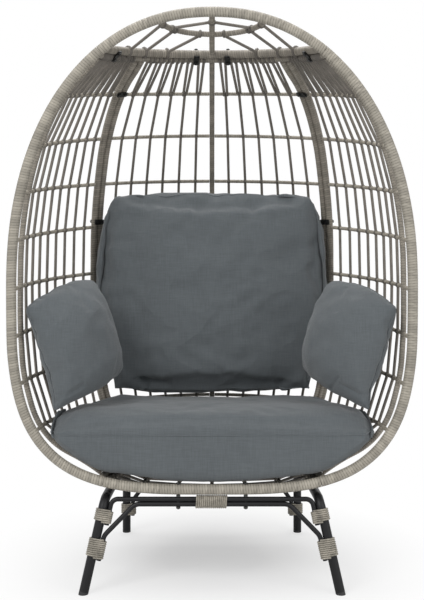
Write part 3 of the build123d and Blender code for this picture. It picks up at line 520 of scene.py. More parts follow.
def plain_material(
    name, tint, grain, patch, roughness, depth, metallic=0.0, contrast=0.25, shine=0.5
):
    """Coat, plastic or plain wicker with fine grain and soft patches."""
    material, tree, shader, place = new_material(name)
    inputs = {"Coordinates": place, "Scale": grain, "Patch Scale": patch}
    fine = placed_group(tree, grain_group(), inputs)
    dark, pale = tinted(tint, 1 - contrast), tinted(tint, 1 + contrast)
    rough, smooth = roughness + ROUGHNESS_RANGE, roughness - ROUGHNESS_RANGE
    inputs = {
        "Base Color": blend_colours(tree, fine["Patches"], dark, pale),
        "Roughness": spread(tree, fine["Patches"], 0.0, 1.0, rough, smooth),
        "Metallic": metallic,
        "Specular IOR Level": shine,
        "Normal": bump(tree, fine["Height"], strength=0.45, distance=depth),
    }
    feed(tree, shader, inputs)
    return material


def strand_material(name, tint):
    """A resin strand with lengthwise lines."""
    material, tree, shader, place = new_material(name)
    line_share, patch_share = 0.55, 0.45
    stretched = vector_calc(tree, "MULTIPLY", place, STRAND_STRETCH)
    lines = speckle(tree, stretched, 1.0, detail=3.0)
    inputs = {"Coordinates": place, "Patch Scale": 34.0}
    patches = placed_group(tree, grain_group(), inputs)["Patches"]
    patches = times(tree, patches, patch_share)
    tone = plus(tree, times(tree, lines, line_share), patches)
    inputs = {
        "Base Color": blend_colours(tree, tone, *(tinted(tint, end) for end in STRAND_TONES)),
        "Roughness": spread(tree, tone, 0.2, 0.8, to_low=0.60, to_high=0.46),
        "Normal": bump(tree, lines, strength=0.5, distance=0.0004),
    }
    feed(tree, shader, inputs)
    return material


def cloth_material(name, tint, thread):
    """Solution-dyed outdoor cloth in a plain weave."""
    material, tree, shader, place = new_material(name)
    normal = tree.nodes.new("ShaderNodeNewGeometry").outputs["Normal"]
    inputs = {"Coordinates": place, "Normal": normal, "Thread": thread}
    weave = placed_group(tree, weave_group(), inputs)
    inputs = {"Coordinates": place, "Patch Scale": 7.0}
    patches = placed_group(tree, grain_group(), inputs)["Patches"]
    body = blend_colours(tree, weave["Slubs"], *(tinted(tint, tone) for tone in CLOTH_TONES))
    faded = times(tree, patches, FADED_SHARE)
    inputs = {
        "Base Color": blend_colours(tree, faded, body, tinted(tint, FADED_TONE)),
        "Roughness": spread(tree, weave["Slubs"], 0.0, 1.0, to_low=0.93, to_high=0.84),
        "Sheen Weight": 0.22,
        "Sheen Roughness": 0.55,
        "Specular IOR Level": 0.25,
        "Normal": bump(tree, weave["Height"], strength=0.55, distance=0.0005),
    }
    feed(tree, shader, inputs)
    return material


@cache
def finish_of(name):
    """The finishes of the chair, each made once."""
    scene = bpy.context.scene
    wicker, cloth, base = scene.egg_wicker, scene.egg_cloth, scene.egg_base
    make, *values = {
        "rim wicker": (wound_material, wicker.pale, wicker.strip_pitch),
        "post wicker": (wound_material, wicker.shade_painted, wicker.strip_pitch),
        "hoop wicker": (wound_material, wicker.hoop, wicker.hoop_pitch),
        "strand wicker": (strand_material, wicker.strand),
        "tie wicker": (strand_material, tinted(wicker.strand, TIE_TONE)),
        "binding wicker": (plain_material, tinted(wicker.pale, BINDING_TONE)),
        "cushion cloth": (cloth_material, cloth.cloth, cloth.thread),
        "powder coat": (plain_material, base.coat),
        "dark zinc": (plain_material, base.zinc),
        "foot plastic": (plain_material, base.foot),
    }[name]
    return make(name, *values, **PLAIN_FINISHES.get(name, {}))


# Middle lines of the tubes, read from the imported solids

DOUBLES = 1e-6  # points this close are one
NO_AREA, NO_LENGTH = 1e-12, 1e-9
RAYS, ENOUGH_RAYS = 6, 4  # across a bore, and how many have to find its width
RAY_REACH, WIDTH_GIVE = 1.7, 0.4  # of the bore
LINE_STEP = 0.008
STRIDES = (1.0, 1.5, 2.0)  # steps tried, so that a drilled hole is stepped over
TURN_WEIGHT = 2  # of the newest step in the heading
HALVINGS = 7  # of a step, to find a tube's end
LONGEST_LINE = 4000
TRIED_FACES, TRIED_WAYS = 60, 24
START_REACH, START_GIVE = 1.5, 0.2  # of the bore
LONG_RAY = 12  # in radii of the tube
SETTLING_TIMES, SMOOTHING_TIMES = 4, 2
STRAY_SHARE = 0.06  # of a solid's faces, that may lie off all of its middle lines


def merged_mesh(node):
    """A bmesh copy of a node's mesh with its doubles merged."""
    mesh = bmesh.new()
    mesh.from_mesh(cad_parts[node].data)
    bmesh.ops.remove_doubles(mesh, verts=mesh.verts, dist=DOUBLES)
    return mesh


def separate_solids(node):
    """The points and faces of each separate solid of a node."""
    mesh = merged_mesh(node)
    mesh.faces.ensure_lookup_table()
    seen, solids = set(), []
    for first in mesh.faces:
        if first.index in seen:
            continue
        seen.add(first.index)
        numbers, points, faces, waiting = {}, [], [], [first]
        while waiting:
            face = waiting.pop()
            corners = []
            for vert in face.verts:
                if vert.index not in numbers:
                    numbers[vert.index] = len(points)
                    points.append(vert.co.copy())
                corners.append(numbers[vert.index])
            faces.append(corners)
            for edge in face.edges:
                for other in edge.link_faces:
                    if other.index not in seen:
                        seen.add(other.index)
                        waiting.append(other)
        solids.append((points, faces))
    mesh.free()
    return solids


def ways_across(heading, count):
    """Directions square to a heading, spread over half a turn."""
    side = heading.orthogonal().normalized()
    other = heading.cross(side)
    angles = (math.pi * number / count for number in range(count))
    return [side * math.cos(angle) + other * math.sin(angle) for angle in angles]


def ring_centre(tree, point, heading, bore):
    """The middle of a tube near a point, from rays across it, or None outside the tube."""
    found = []
    for ray in ways_across(heading, RAYS):
        ahead, behind = (tree.ray_cast(point, way, bore * RAY_REACH)[0] for way in (ray, -ray))
        if ahead is not None and behind is not None:
            if abs((ahead - behind).length - 2 * bore) < bore * WIDTH_GIVE:
                found.append((ahead + behind) / 2)
    return sum(found, Vector()) / len(found) if len(found) >= ENOUGH_RAYS else None


def march(tree, start, heading, bore):
    """Points along a tube's middle from a start to the tube's end."""
    points, here = [], start
    while len(points) < LONGEST_LINE:
        for stride in STRIDES:
            ahead = ring_centre(tree, here + heading * (LINE_STEP * stride), heading, bore)
            if ahead is not None:
                break
        else:
            low, high = 0.0, LINE_STEP
            for _ in range(HALVINGS):
                middle = (low + high) / 2
                if ring_centre(tree, here + heading * middle, heading, bore) is None:
                    high = middle
                else:
                    low = middle
            return [*points, here + heading * low]
        heading = (heading + (ahead - here).normalized() * TURN_WEIGHT).normalized()
        here = ahead
        points.append(here)
    raise RuntimeError("a tube has no end")


def tube_starts(points, faces, tree, bar):
    """Places on a tube's middle and its headings there, from its outer faces, best first."""
    long_ray = bar.radius * LONG_RAY
    starts = []
    for corners in faces[:: max(1, len(faces) // TRIED_FACES)]:
        first, second, third = (points[number] for number in corners[:3])
        normal = (second - first).cross(third - first)
        if normal.length < NO_AREA:
            continue
        normal.normalize()
        spot = (first + second + third) / 3 - normal * bar.radius
        reach = bar.bore * START_REACH
        gaps = [tree.ray_cast(spot, ray, reach)[3] for ray in (normal, -normal)]
        if None in gaps or abs(sum(gaps) - 2 * bar.bore) > bar.bore * START_GIVE:
            continue
        ways = ways_across(normal, TRIED_WAYS)
        reaches = [
            sum(tree.ray_cast(spot, ray, long_ray)[3] or long_ray for ray in (way, -way))
            for way in ways
        ]
        starts.append((max(reaches), spot, ways[reaches.index(max(reaches))]))
    starts.sort(key=lambda found: -found[0])
    return [found[1:] for found in starts]


def settled_start(tree, start, way, bore):
    """A start moved on to the tube's middle, or None where it has no ring round it."""
    for _ in range(SETTLING_TIMES):
        centre = ring_centre(tree, start, way, bore)
        if centre is None:
            return None
        ahead, behind = (
            ring_centre(tree, centre + way * reach, way, bore) for reach in (bore, -bore)
        )
        start = centre
        if ahead is not None and behind is not None:
            way = (ahead - behind).normalized()
    return start, way


def centre_line(tree, points, faces, bar):
    """The middle line of one tube or rod that some of the faces lie on, end to end."""
    for start, way in tube_starts(points, faces, tree, bar):
        settled = settled_start(tree, start, way, bar.bore)
        if settled:
            break
    else:
        return None
    start, way = settled
    back = march(tree, start, -way, bar.bore)
    line = [*reversed(back), start, *march(tree, start, way, bar.bore)]
    for _ in range(SMOOTHING_TIMES):
        inner = [
            (line[at - 1] + line[at] * 2 + line[at + 1]) / 4 for at in range(1, len(line) - 1)
        ]
        line = [line[0], *inner, line[-1]]
    return line


def middle_lines(points, faces, bar):
    """The middle lines of the tubes in one solid: tubes that touch are packed as one."""
    tree = BVHTree.FromPolygons([tuple(point) for point in points], faces)
    lines, left = [], faces
    while len(left) > len(faces) * STRAY_SHARE:
        line = centre_line(tree, points, left, bar)
        if line is None:
            break
        near = KDTree(len(line))
        for number, spot in enumerate(line):
            near.insert(spot, number)
        near.balance()
        middles = (
            sum((points[number] for number in corners), Vector()) / len(corners)
            for corners in left
        )
        reach = bar.radius + LINE_STEP
        left = [corners for corners, middle in zip(left, middles) if near.find(middle)[2] > reach]
        lines.append(line)
    return lines


@cache
def node_lines(node, bar):
    """The middle lines of all tubes of a node, found once for the pieces that sit on them."""
    found = [middle_lines(points, faces, bar) for points, faces in separate_solids(node)]
    if [] in found:
        raise RuntimeError(f"a tube of {node} has no middle line")
    return [line for lines in found for line in lines]


# Turning trees and lines into finished pieces


def new_object(name, data):
    made = bpy.data.objects.new(name, data)
    bpy.context.scene.collection.objects.link(made)
    return made


def cover(mesh, finish):
    """Give a mesh one finish."""
    mesh.materials.clear()
    mesh.materials.append(finish_of(finish))


def line_object(name, points, closed=False):
    curve = bpy.data.curves.new(name, "CURVE")
    curve.dimensions = "3D"
    spline = curve.splines.new("POLY")
    spline.points.add(len(points) - 1)
    spline.points.foreach_set("co", [part for point in points for part in (*point, 1.0)])
    spline.use_cyclic_u = closed
    return new_object(name, curve)


def evaluated_mesh(made):
    bpy.context.view_layer.update()
    graph = bpy.context.evaluated_depsgraph_get()
    return bpy.data.meshes.new_from_object(made.evaluated_get(graph), depsgraph=graph)


def run_tree(made, tree, values):
    """The plain mesh that a geometry tree makes of an object. The object goes."""
    modifier = made.modifiers.new("shape", "NODES")
    modifier.node_group = tree
    for item in tree.interface.items_tree:
        if item.in_out == "INPUT" and item.name in values:
            modifier[item.identifier] = values[item.name]
    mesh = evaluated_mesh(made)
    data = made.data
    bpy.data.objects.remove(made)
    (bpy.data.curves if isinstance(data, bpy.types.Curve) else bpy.data.meshes).remove(data)
    return mesh


def joined(name, meshes, finish):
    """One smooth mesh object from several meshes, with closed ends and outward faces."""
    whole = bmesh.new()
    for mesh in meshes:
        whole.from_mesh(mesh)
        bpy.data.meshes.remove(mesh)
    open_edges = [edge for edge in whole.edges if edge.is_boundary]
    if open_edges:
        bmesh.ops.holes_fill(whole, edges=open_edges, sides=0)
    bmesh.ops.recalc_face_normals(whole, faces=whole.faces)
    for face in whole.faces:
        face.smooth = True
        face.material_index = 0
    mesh = bpy.data.meshes.new(name)
    whole.to_mesh(mesh)
    whole.free()
    cover(mesh, finish)
    return new_object(name, mesh)


def settle(made, body, slot, *nodes):
    """Attach a finished piece to its body and hide the nodes that it stands for."""
    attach(made, body)
    if nodes:
        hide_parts(*nodes)


def wind(nodes, bar, pitch, finish, slot):
    """Make the tubes of each node, wound with their strip."""
    wicker = bpy.context.scene.egg_wicker
    values = {
        "Radius": bar.radius,
        "Pitch": pitch,
        "Groove": wicker.strip_groove,
        "Sides": wicker.sides,
        "Material": finish_of(finish),
    }
    for node in nodes:
        meshes = [
            run_tree(line_object(node, points), wound_tube_tree(), values)
            for points in node_lines(node, bar)
        ]
        settle(joined(f"{node}_wound", meshes, finish), ROOT, slot, node)


def dress(node, finish):
    """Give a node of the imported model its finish."""
    cover(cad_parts[node].data, finish)


class EGGCHAIR_OT_rim(bpy.types.Operator):
    """Wind the strip on the rim round the front opening"""

    bl_idname = "egg_chair.rim"
    bl_label = "Rim"

    def execute(self, context):
        nodes = ("cap_rim_tube", "left_side_rim_tube", "right_side_rim_tube", "seat_rim_tube")
        wind(nodes, RIM, context.scene.egg_wicker.strip_pitch, "rim wicker", "wicker_wrap")
        return {"FINISHED"}


class EGGCHAIR_OT_frames(bpy.types.Operator):
    """Wind the strip on the seam tubes and posts of the panels"""

    bl_idname = "egg_chair.frames"
    bl_label = "Panel frames"

    def execute(self, context):
        pitch = context.scene.egg_wicker.strip_pitch
        panels = ("left_side_frame_tubes", "right_side_frame_tubes", "back_frame_tubes")
        posts = ("left_side_inner_post", "right_side_inner_post", "back_centre_rib")
        for bar, nodes in (
            (CAP, ("cap_rear_tube",)),
            (SEAM, (*panels, "seat_ring_tube")),
            (LIGHT, ("cap_middle_rod", "cap_spine_rods", *posts)),
        ):
            # These tubes take the darker copy of the strip: painted shade
            wind(nodes, bar, pitch, "post wicker", "wicker_wrap")
        return {"FINISHED"}


class EGGCHAIR_OT_hoops(bpy.types.Operator):
    """Wind the strip on the level hoops and the seat ribs"""

    bl_idname = "egg_chair.hoops"
    bl_label = "Hoops"

    def execute(self, context):
        nodes = ("left_side_hoops", "right_side_hoops", "back_hoops", "seat_ribs")
        wind(nodes, HOOP, context.scene.egg_wicker.hoop_pitch, "hoop wicker", "pale_hoop")
        return {"FINISHED"}


TIE_REACH, TIE_ROOM = 2.2, 0.006  # a strand's end this near a bar is tied: radii, and metres
TIE_SPACING = 0.005


class EGGCHAIR_OT_strands(bpy.types.Operator):
    """Finish the upright strands and wrap their ends round the bars"""

    bl_idname = "egg_chair.strands"
    bl_label = "Strands"

    def execute(self, context):
        wicker = context.scene.egg_wicker
        values = {
            "Width": wicker.strand_width,
            "Thickness": wicker.tie_thickness,
            "Material": finish_of("tie wicker"),
        }
        carriers = {
            "left_side_strands": {"left_side_hoops": HOOP, "left_side_frame_tubes": SEAM},
            "right_side_strands": {"right_side_hoops": HOOP, "right_side_frame_tubes": SEAM},
            "back_strands": {"back_hoops": HOOP, "back_frame_tubes": SEAM},
            "cap_strands": {"cap_rear_tube": CAP, "cap_middle_rod": LIGHT, "cap_spine_rods": LIGHT},
            "seat_strands": {"seat_ribs": HOOP, "seat_ring_tube": SEAM},
        }
        for node, bars in carriers.items():
            dress(node, "strand wicker")
            spots, ways, radii = zip(*self.meeting_spots(node, bars))
            mesh = bpy.data.meshes.new(f"{node}_spots")
            mesh.from_pydata(spots, [], [])
            lie = mesh.attributes.new("lie", "FLOAT_VECTOR", "POINT")
            lie.data.foreach_set("vector", [part for way in ways for part in way])
            mesh.attributes.new("girth", "FLOAT", "POINT").data.foreach_set("value", radii)
            ties = run_tree(new_object(mesh.name, mesh), strand_tie_tree(), values)
            name = f"{node.removesuffix('strands')}ties"
            settle(joined(name, [ties], "tie wicker"), ROOT, "woven_strand")
        return {"FINISHED"}

    def meeting_spots(self, node, bars):
        """Where a node's strands meet bars: each a place, the bar's heading and its radius."""
        places, ways, radii = [], [], []
        for carrier, bar in bars.items():
            for line in node_lines(carrier, bar):
                for here, ahead in zip(line, line[1:]):
                    if (ahead - here).length > DOUBLES:
                        places.append(here)
                        ways.append((ahead - here).normalized())
                        radii.append(bar.radius)
        table = np.array([tuple(place) for place in places])
        spots = []
        for line in node_lines(node, STRAND):
            for end in (line[0], line[-1]):
                gaps = np.linalg.norm(table - np.array(end), axis=1)
                nearest = int(gaps.argmin())
                way, place, radius = ways[nearest], places[nearest], radii[nearest]
                if gaps[nearest] > TIE_REACH * radius + TIE_ROOM:
                    continue
                spot = place + way * (end - place).dot(way)
                if all((spot - other).length > TIE_SPACING for other, _, _ in spots):
                    spots.append((spot, way, radius))
        return spots


class EGGCHAIR_OT_base(bpy.types.Operator):
    """Finish the base, its bindings, its feet and the fasteners"""

    bl_idname = "egg_chair.base"
    bl_label = "Base and fasteners"

    def execute(self, context):
        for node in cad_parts:
            if "leg_frame" in node or node.endswith(("crossbar", "brace")):
                dress(node, "powder coat")
            elif node.endswith("binding"):
                dress(node, "binding wicker")
            elif node.endswith("foot"):
                dress(node, "foot plastic")
            elif node.startswith(("panel_", "shell_")) or node == "rim_spigots":
                dress(node, "dark zinc")
        return {"FINISHED"}


# Cushions: a solid is rebuilt on a grid, filled like cloth and kept in its space

# Grid, then how far a point may sink into its solid, swell past it on the open side, and
# travel outward and sideways while the cloth is filled
Filling = namedtuple("Filling", "voxel give swell cap slip")
SEAT_FILLING = Filling(voxel=0.009, give=0.001, swell=0.012, cap=0.016, slip=0.002)
BACK_FILLING = Filling(voxel=0.009, give=0.002, swell=0.016, cap=0.024, slip=0.004)
PILLOW_FILLING = Filling(voxel=0.007, give=0.060, swell=0.028, cap=0.034, slip=0.006)
GAP_SHARE = 0.45  # of the gap to a neighbour, that a cushion may fill
NEIGHBOUR_REACH = 3  # times the swell
OPEN_SLOPE, OPEN_START = 2.5, 0.2  # how soon a face counts as open as it turns that way
FILL_FRAMES = 20
CLOTH_SETTINGS = {
    "quality": 5,
    "use_pressure": True,
    "mass": 0.1,
    "tension_stiffness": 8.0,
    "compression_stiffness": 8.0,
    "bending_stiffness": 0.5,
}
SKIN_SMOOTHING = 4


def neighbours(node, reach):
    """A search tree of the faces of all other nodes near a cushion."""
    low, high = (np.array(corner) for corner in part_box(node))
    low, high = low - reach, high + reach
    points, faces, count = [], [], 0
    for other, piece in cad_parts.items():
        if other == node:
            continue
        mesh = piece.data
        mesh.calc_loop_triangles()
        places = points_of(mesh, "co")
        corners = np.zeros(len(mesh.loop_triangles) * 3, dtype=int)
        mesh.loop_triangles.foreach_get("vertices", corners)
        corners = corners.reshape(-1, 3)
        near = np.all((places > low) & (places < high), axis=1)
        corners = corners[near[corners].any(axis=1)]
        if len(corners):
            used, renumbered = np.unique(corners, return_inverse=True)
            points += places[used].tolist()
            faces += (renumbered.reshape(-1, 3) + count).tolist()
            count += len(used)
    return BVHTree.FromPolygons(points, faces)


def kept_in_space(node, places, open_way, filling):
    """Cloth points kept near their solid. They may give a little, and swell on the open side.

    Nowhere does the cloth take more than its share of the gap to a neighbour.
    """
    solid = merged_mesh(node)
    surface = BVHTree.FromBMesh(solid)
    solid.free()
    swell = filling.swell
    others = neighbours(node, swell * NEIGHBOUR_REACH)
    open_way = Vector(open_way).normalized()
    kept = places.copy()
    for number, place in enumerate(places):
        place = Vector(place)
        spot, normal, _, _ = surface.find_nearest(place)
        away = (place - spot).dot(normal)
        room = others.find_nearest(spot, swell * NEIGHBOUR_REACH)[3]
        share = swell if room is None else min(swell, GAP_SHARE * room)
        openness = min(1.0, max(0.0, normal.dot(open_way) * OPEN_SLOPE - OPEN_START))
        away = min(max(away, -filling.give), share * openness)
        kept[number] = spot + normal * away
    return kept


def points_of(mesh, key):
    """The places or normals of a mesh's points as an array."""
    values = np.zeros(len(mesh.vertices) * 3)
    mesh.vertices.foreach_get(key, values)
    return values.reshape(-1, 3)


def keep_evaluated(made):
    """Turn a piece's modifiers into its mesh."""
    result, old = evaluated_mesh(made), made.data
    made.modifiers.clear()
    made.data = result
    bpy.data.meshes.remove(old)


def remade(made, kind, **settings):
    """Change a piece's mesh by one modifier."""
    modifier = made.modifiers.new(kind.lower(), kind)
    for key, value in settings.items():
        setattr(modifier, key, value)
    keep_evaluated(made)


def filled_cushion(node, open_way, filling, shape=None):
    """A cushion made from its solid, in the cloth's finish."""
    source = merged_mesh(node)
    bmesh.ops.recalc_face_normals(source, faces=source.faces)
    mesh = bpy.data.meshes.new(f"{node}_filled")
    source.to_mesh(mesh)
    source.free()
    made = new_object(mesh.name, mesh)
    remade(made, "REMESH", mode="VOXEL", voxel_size=filling.voxel)
    normals = points_of(made.data, "normal")
    start = points_of(made.data, "co") - normals * bpy.context.scene.egg_cloth.inset
    if shape:
        start = shape(start)
    made.data.vertices.foreach_set("co", start.ravel())
    start = filled(made, start, normals, filling)
    kept = kept_in_space(node, start, open_way, filling)
    made.data.vertices.foreach_set("co", kept.ravel())
    remade(made, "SMOOTH", factor=0.5, iterations=SKIN_SMOOTHING)
    remade(made, "SUBSURF", levels=1, render_levels=1)
    return made


def filled(made, start, normals, filling):
    """Places after some frames of cloth under pressure, each point's travel capped."""
    modifier = made.modifiers.new("fill", "CLOTH")
    settings = modifier.settings
    for key, value in CLOTH_SETTINGS.items():
        setattr(settings, key, value)
    settings.uniform_pressure_force = bpy.context.scene.egg_cloth.pressure
    settings.effector_weights.gravity = 0.0
    modifier.point_cache.frame_start, modifier.point_cache.frame_end = 1, FILL_FRAMES
    for number in range(FILL_FRAMES):
        bpy.context.scene.frame_set(number + 1)
    result = evaluated_mesh(made)
    made.modifiers.clear()
    places = points_of(result, "co")
    bpy.data.meshes.remove(result)
    bpy.context.scene.frame_set(1)
    travel = places - start
    outward = (travel * normals).sum(axis=1, keepdims=True) * normals
    sideways = travel - outward
    return start + capped(outward, filling.cap) + capped(sideways, filling.slip)


def capped(travel, longest):
    """Travels cut back to a longest one."""
    far = np.linalg.norm(travel, axis=1, keepdims=True)
    return travel * np.minimum(1, longest / np.maximum(far, NO_LENGTH))


CORNER_PULL, CORNER_SHARPNESS = 0.13, 1.7
CROWN_PUFF, CROWN_FLATNESS = 0.34, 0.7
FOOT_HOLD, HOLD_SLOPE, HOLD_START = 0.2, 2.2, 0.1  # pull at the foot, and how soon it is whole


def pulled_corners(places, middle, facing, upward):
    """A square pillow's points with the corners pulled in and a fuller open face.

    The corner that the pillow stands on gives the least.
    """
    facing, upward = np.array(facing), np.array(upward)
    across = np.cross(upward, facing)
    from_middle = places - np.array(middle)
    flat = np.stack([from_middle @ across, from_middle @ upward])
    half = np.abs(flat).max(axis=1, keepdims=True)
    share = np.abs(flat / half)
    raised = places[:, 2] - places[:, 2].min()
    above = np.clip(raised / raised.max() * HOLD_SLOPE - HOLD_START, 0, 1)
    hold = FOOT_HOLD + (1 - FOOT_HOLD) * above
    inward = -CORNER_PULL * hold * share.prod(axis=0) ** CORNER_SHARPNESS * flat
    fullness = (1 - share**2).prod(axis=0) ** CROWN_FLATNESS
    crown = fullness * np.maximum(from_middle @ facing, 0) * CROWN_PUFF
    moved = places + inward[0][:, None] * across + inward[1][:, None] * upward
    return moved + crown[:, None] * facing


SEAM_SMOOTHING = 4
CLOSED_GAP = 1e-7


def seam_loop(made, middle, facing):
    """The smoothed line where a plane cuts a cushion."""
    mesh = bmesh.new()
    mesh.from_mesh(made.data)
    whole = [*mesh.verts, *mesh.edges, *mesh.faces]
    cut = bmesh.ops.bisect_plane(mesh, geom=whole, plane_co=middle, plane_no=facing)["geom_cut"]
    edges = {item for item in cut if isinstance(item, bmesh.types.BMEdge)}
    loops = []
    while edges:
        edge = edges.pop()
        line = list(edge.verts)
        while edge:
            edge = next((other for other in line[-1].link_edges if other in edges), None)
            if edge:
                edges.remove(edge)
                line.append(edge.other_vert(line[-1]))
        loops.append([vert.co.copy() for vert in line])
    mesh.free()
    loop = max(loops, key=len)
    if (loop[0] - loop[-1]).length < CLOSED_GAP:
        loop.pop()
    for _ in range(SEAM_SMOOTHING):
        loop = [
            (loop[here - 1] + loop[here] * 2 + loop[(here + 1) % len(loop)]) / 4
            for here in range(len(loop))
        ]
    return loop


def add_seam(made, name, middle, facing, body):
    """A turned seam round a cushion."""
    cloth = bpy.context.scene.egg_cloth
    values = {
        "Radius": cloth.welt_radius,
        "Stitch Pitch": cloth.stitch_pitch,
        "Material": finish_of("cushion cloth"),
    }
    loop = line_object(name, seam_loop(made, middle, facing), closed=True)
    seam = joined(name, [run_tree(loop, seam_tree(), values)], "cushion cloth")
    settle(seam, body, "grey_cloth")


# Pixels of the photograph where each fold starts and ends, its depth and its width
SEAT_FOLD_PIXELS = (
    ((60, 470), (120, 452), 0.0030, 0.016),
    ((372, 468), (318, 450), 0.0026, 0.016),
    ((150, 452), (230, 462), 0.0016, 0.020),
    ((255, 440), (330, 446), 0.0014, 0.018),
)
BACK_FOLD_PIXELS = (
    ((112, 360), (150, 386), 0.0170, 0.016),
    ((116, 378), (172, 384), 0.0130, 0.013),
    ((312, 360), (276, 386), 0.0150, 0.016),
    ((92, 262), (120, 268), 0.0090, 0.014),
    ((326, 250), (300, 256), 0.0080, 0.014),
    ((100, 300), (118, 296), 0.0040, 0.012),
    ((116, 205), (150, 222), 0.0030, 0.018),
    ((305, 205), (272, 222), 0.0030, 0.018),
    ((150, 386), (270, 384), 0.0060, 0.022),
)
PILLOW_FOLD_PIXELS = {
    "left": (
        ((40, 298), (56, 324), 0.0090, 0.0060),
        ((30, 352), (75, 326), 0.0100, 0.0080),
        ((84, 374), (94, 392), 0.0090, 0.0060),
        ((70, 284), (90, 312), 0.0060, 0.0120),
        ((58, 398), (86, 384), 0.0080, 0.0090),
    ),
    "right": (
        ((386, 293), (370, 318), 0.0090, 0.0060),
        ((394, 348), (350, 328), 0.0100, 0.0085),
        ((340, 376), (330, 390), 0.0080, 0.0070),
        ((345, 284), (335, 312), 0.0060, 0.0120),
        ((362, 396), (338, 384), 0.0070, 0.0080),
    ),
}
PHOTO_WIDTH, PHOTO_HEIGHT = 424, 600
SENSOR_WIDTH = 36.0
LUMP_SCALE, FINER_SCALE, FINER_SHARE, FLAT_LEVEL = 9.0, 2.6, 0.5, 0.25


def camera_place():
    stage = bpy.context.scene.egg_stage
    low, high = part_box("cap_rim_tube")
    return Vector((0.0, (low.y + high.y) / 2 - stage.camera_distance, stage.camera_height))


def pixel_folds(made, lines):
    """Folds given by pixels of the photograph, as lines on a piece. One that misses is left."""
    stage = bpy.context.scene.egg_stage
    reach = stage.focal / SENSOR_WIDTH * PHOTO_HEIGHT
    level = PHOTO_HEIGHT / 2 + stage.horizon * PHOTO_HEIGHT
    mesh = bmesh.new()
    mesh.from_mesh(made.data)
    surface = BVHTree.FromBMesh(mesh)
    mesh.free()

    def seen_at(across, down):
        ray = Vector(((across - PHOTO_WIDTH / 2) / reach, 1.0, (level - down) / reach))
        return surface.ray_cast(camera_place(), ray.normalized())[0]

    folds = [(seen_at(*first), seen_at(*last), *size) for first, last, *size in lines]
    return [fold for fold in folds if None not in fold[:2]]


def press_folds(made, folds, rough, seed):
    """Soft folds pressed in along lines, and the slight unevenness of stuffed cloth."""
    mesh = made.data
    places, normals = points_of(mesh, "co"), points_of(mesh, "normal")
    push = np.zeros(len(places))
    for start, end, depth, width in folds:
        start, end = np.array(start), np.array(end)
        run = end - start
        share = np.clip((places - start) @ run / (run @ run), 0, 1)
        gap = np.linalg.norm(places - (start + share[:, None] * run), axis=1)
        fade = np.sin(share * math.pi) ** 0.5
        push -= depth * fade * np.exp(-((gap / width) ** 2))
    for number, place in enumerate(places):
        spot = Vector(place) * LUMP_SCALE + Vector((seed, 0, 0))
        lump = noise.noise(spot) + FINER_SHARE * noise.noise(spot * FINER_SCALE) - FLAT_LEVEL
        push[number] += rough * min(0.0, lump)
    mesh.vertices.foreach_set("co", (places + normals * push[:, None]).ravel())
    mesh.update()


SEAT_OPEN_WAY, BACK_OPEN_WAY = (0.0, -0.2, 1.0), (0.0, -0.8, -0.6)
SEAT_SEAM_HEIGHT, SEAT_SEAM_TILT = 0.410, 0.10
BACK_SEAM_SETBACK = 0.400  # behind the rim
PILLOW_TURN, PILLOW_LEAN, PILLOW_ROLL = map(math.radians, (54, 9, 15))
SEAT_ROUGH, BACK_ROUGH, PILLOW_ROUGH = 0.0050, 0.0120, 0.0090
SEAT_SEED, BACK_SEED, PILLOW_SEEDS = 3.0, 11.0, {"left": 21.0, "right": 28.0}


class EGGCHAIR_OT_seat_cushion(bpy.types.Operator):
    """Fill and sew the seat cushion"""

    bl_idname = "egg_chair.seat_cushion"
    bl_label = "Seat cushion"

    def execute(self, context):
        made = filled_cushion("seat_cushion", SEAT_OPEN_WAY, SEAT_FILLING)
        press_folds(made, pixel_folds(made, SEAT_FOLD_PIXELS), SEAT_ROUGH, SEAT_SEED)
        cover(made.data, "cushion cloth")
        settle(made, ROOT, "grey_cloth", "seat_cushion")
        middle = Vector((0.0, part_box("seat_cushion")[0].y, SEAT_SEAM_HEIGHT))
        facing = Vector((0.0, -SEAT_SEAM_TILT, 1.0)).normalized()
        add_seam(made, "seat_cushion_seam", middle, facing, ROOT)
        return {"FINISHED"}


class EGGCHAIR_OT_back_cushion(bpy.types.Operator):
    """Fill and sew the back cushion"""

    bl_idname = "egg_chair.back_cushion"
    bl_label = "Back cushion"

    def execute(self, context):
        made = filled_cushion("back_cushion", BACK_OPEN_WAY, BACK_FILLING)
        press_folds(made, pixel_folds(made, BACK_FOLD_PIXELS), BACK_ROUGH, BACK_SEED)
        cover(made.data, "cushion cloth")
        settle(made, ROOT, "grey_cloth", "back_cushion")
        rim = camera_place().y + context.scene.egg_stage.camera_distance
        middle = Vector((0.0, rim + BACK_SEAM_SETBACK, 0.0))
        add_seam(made, "back_cushion_seam", middle, Vector((0.0, 1.0, 0.0)), ROOT)
        return {"FINISHED"}


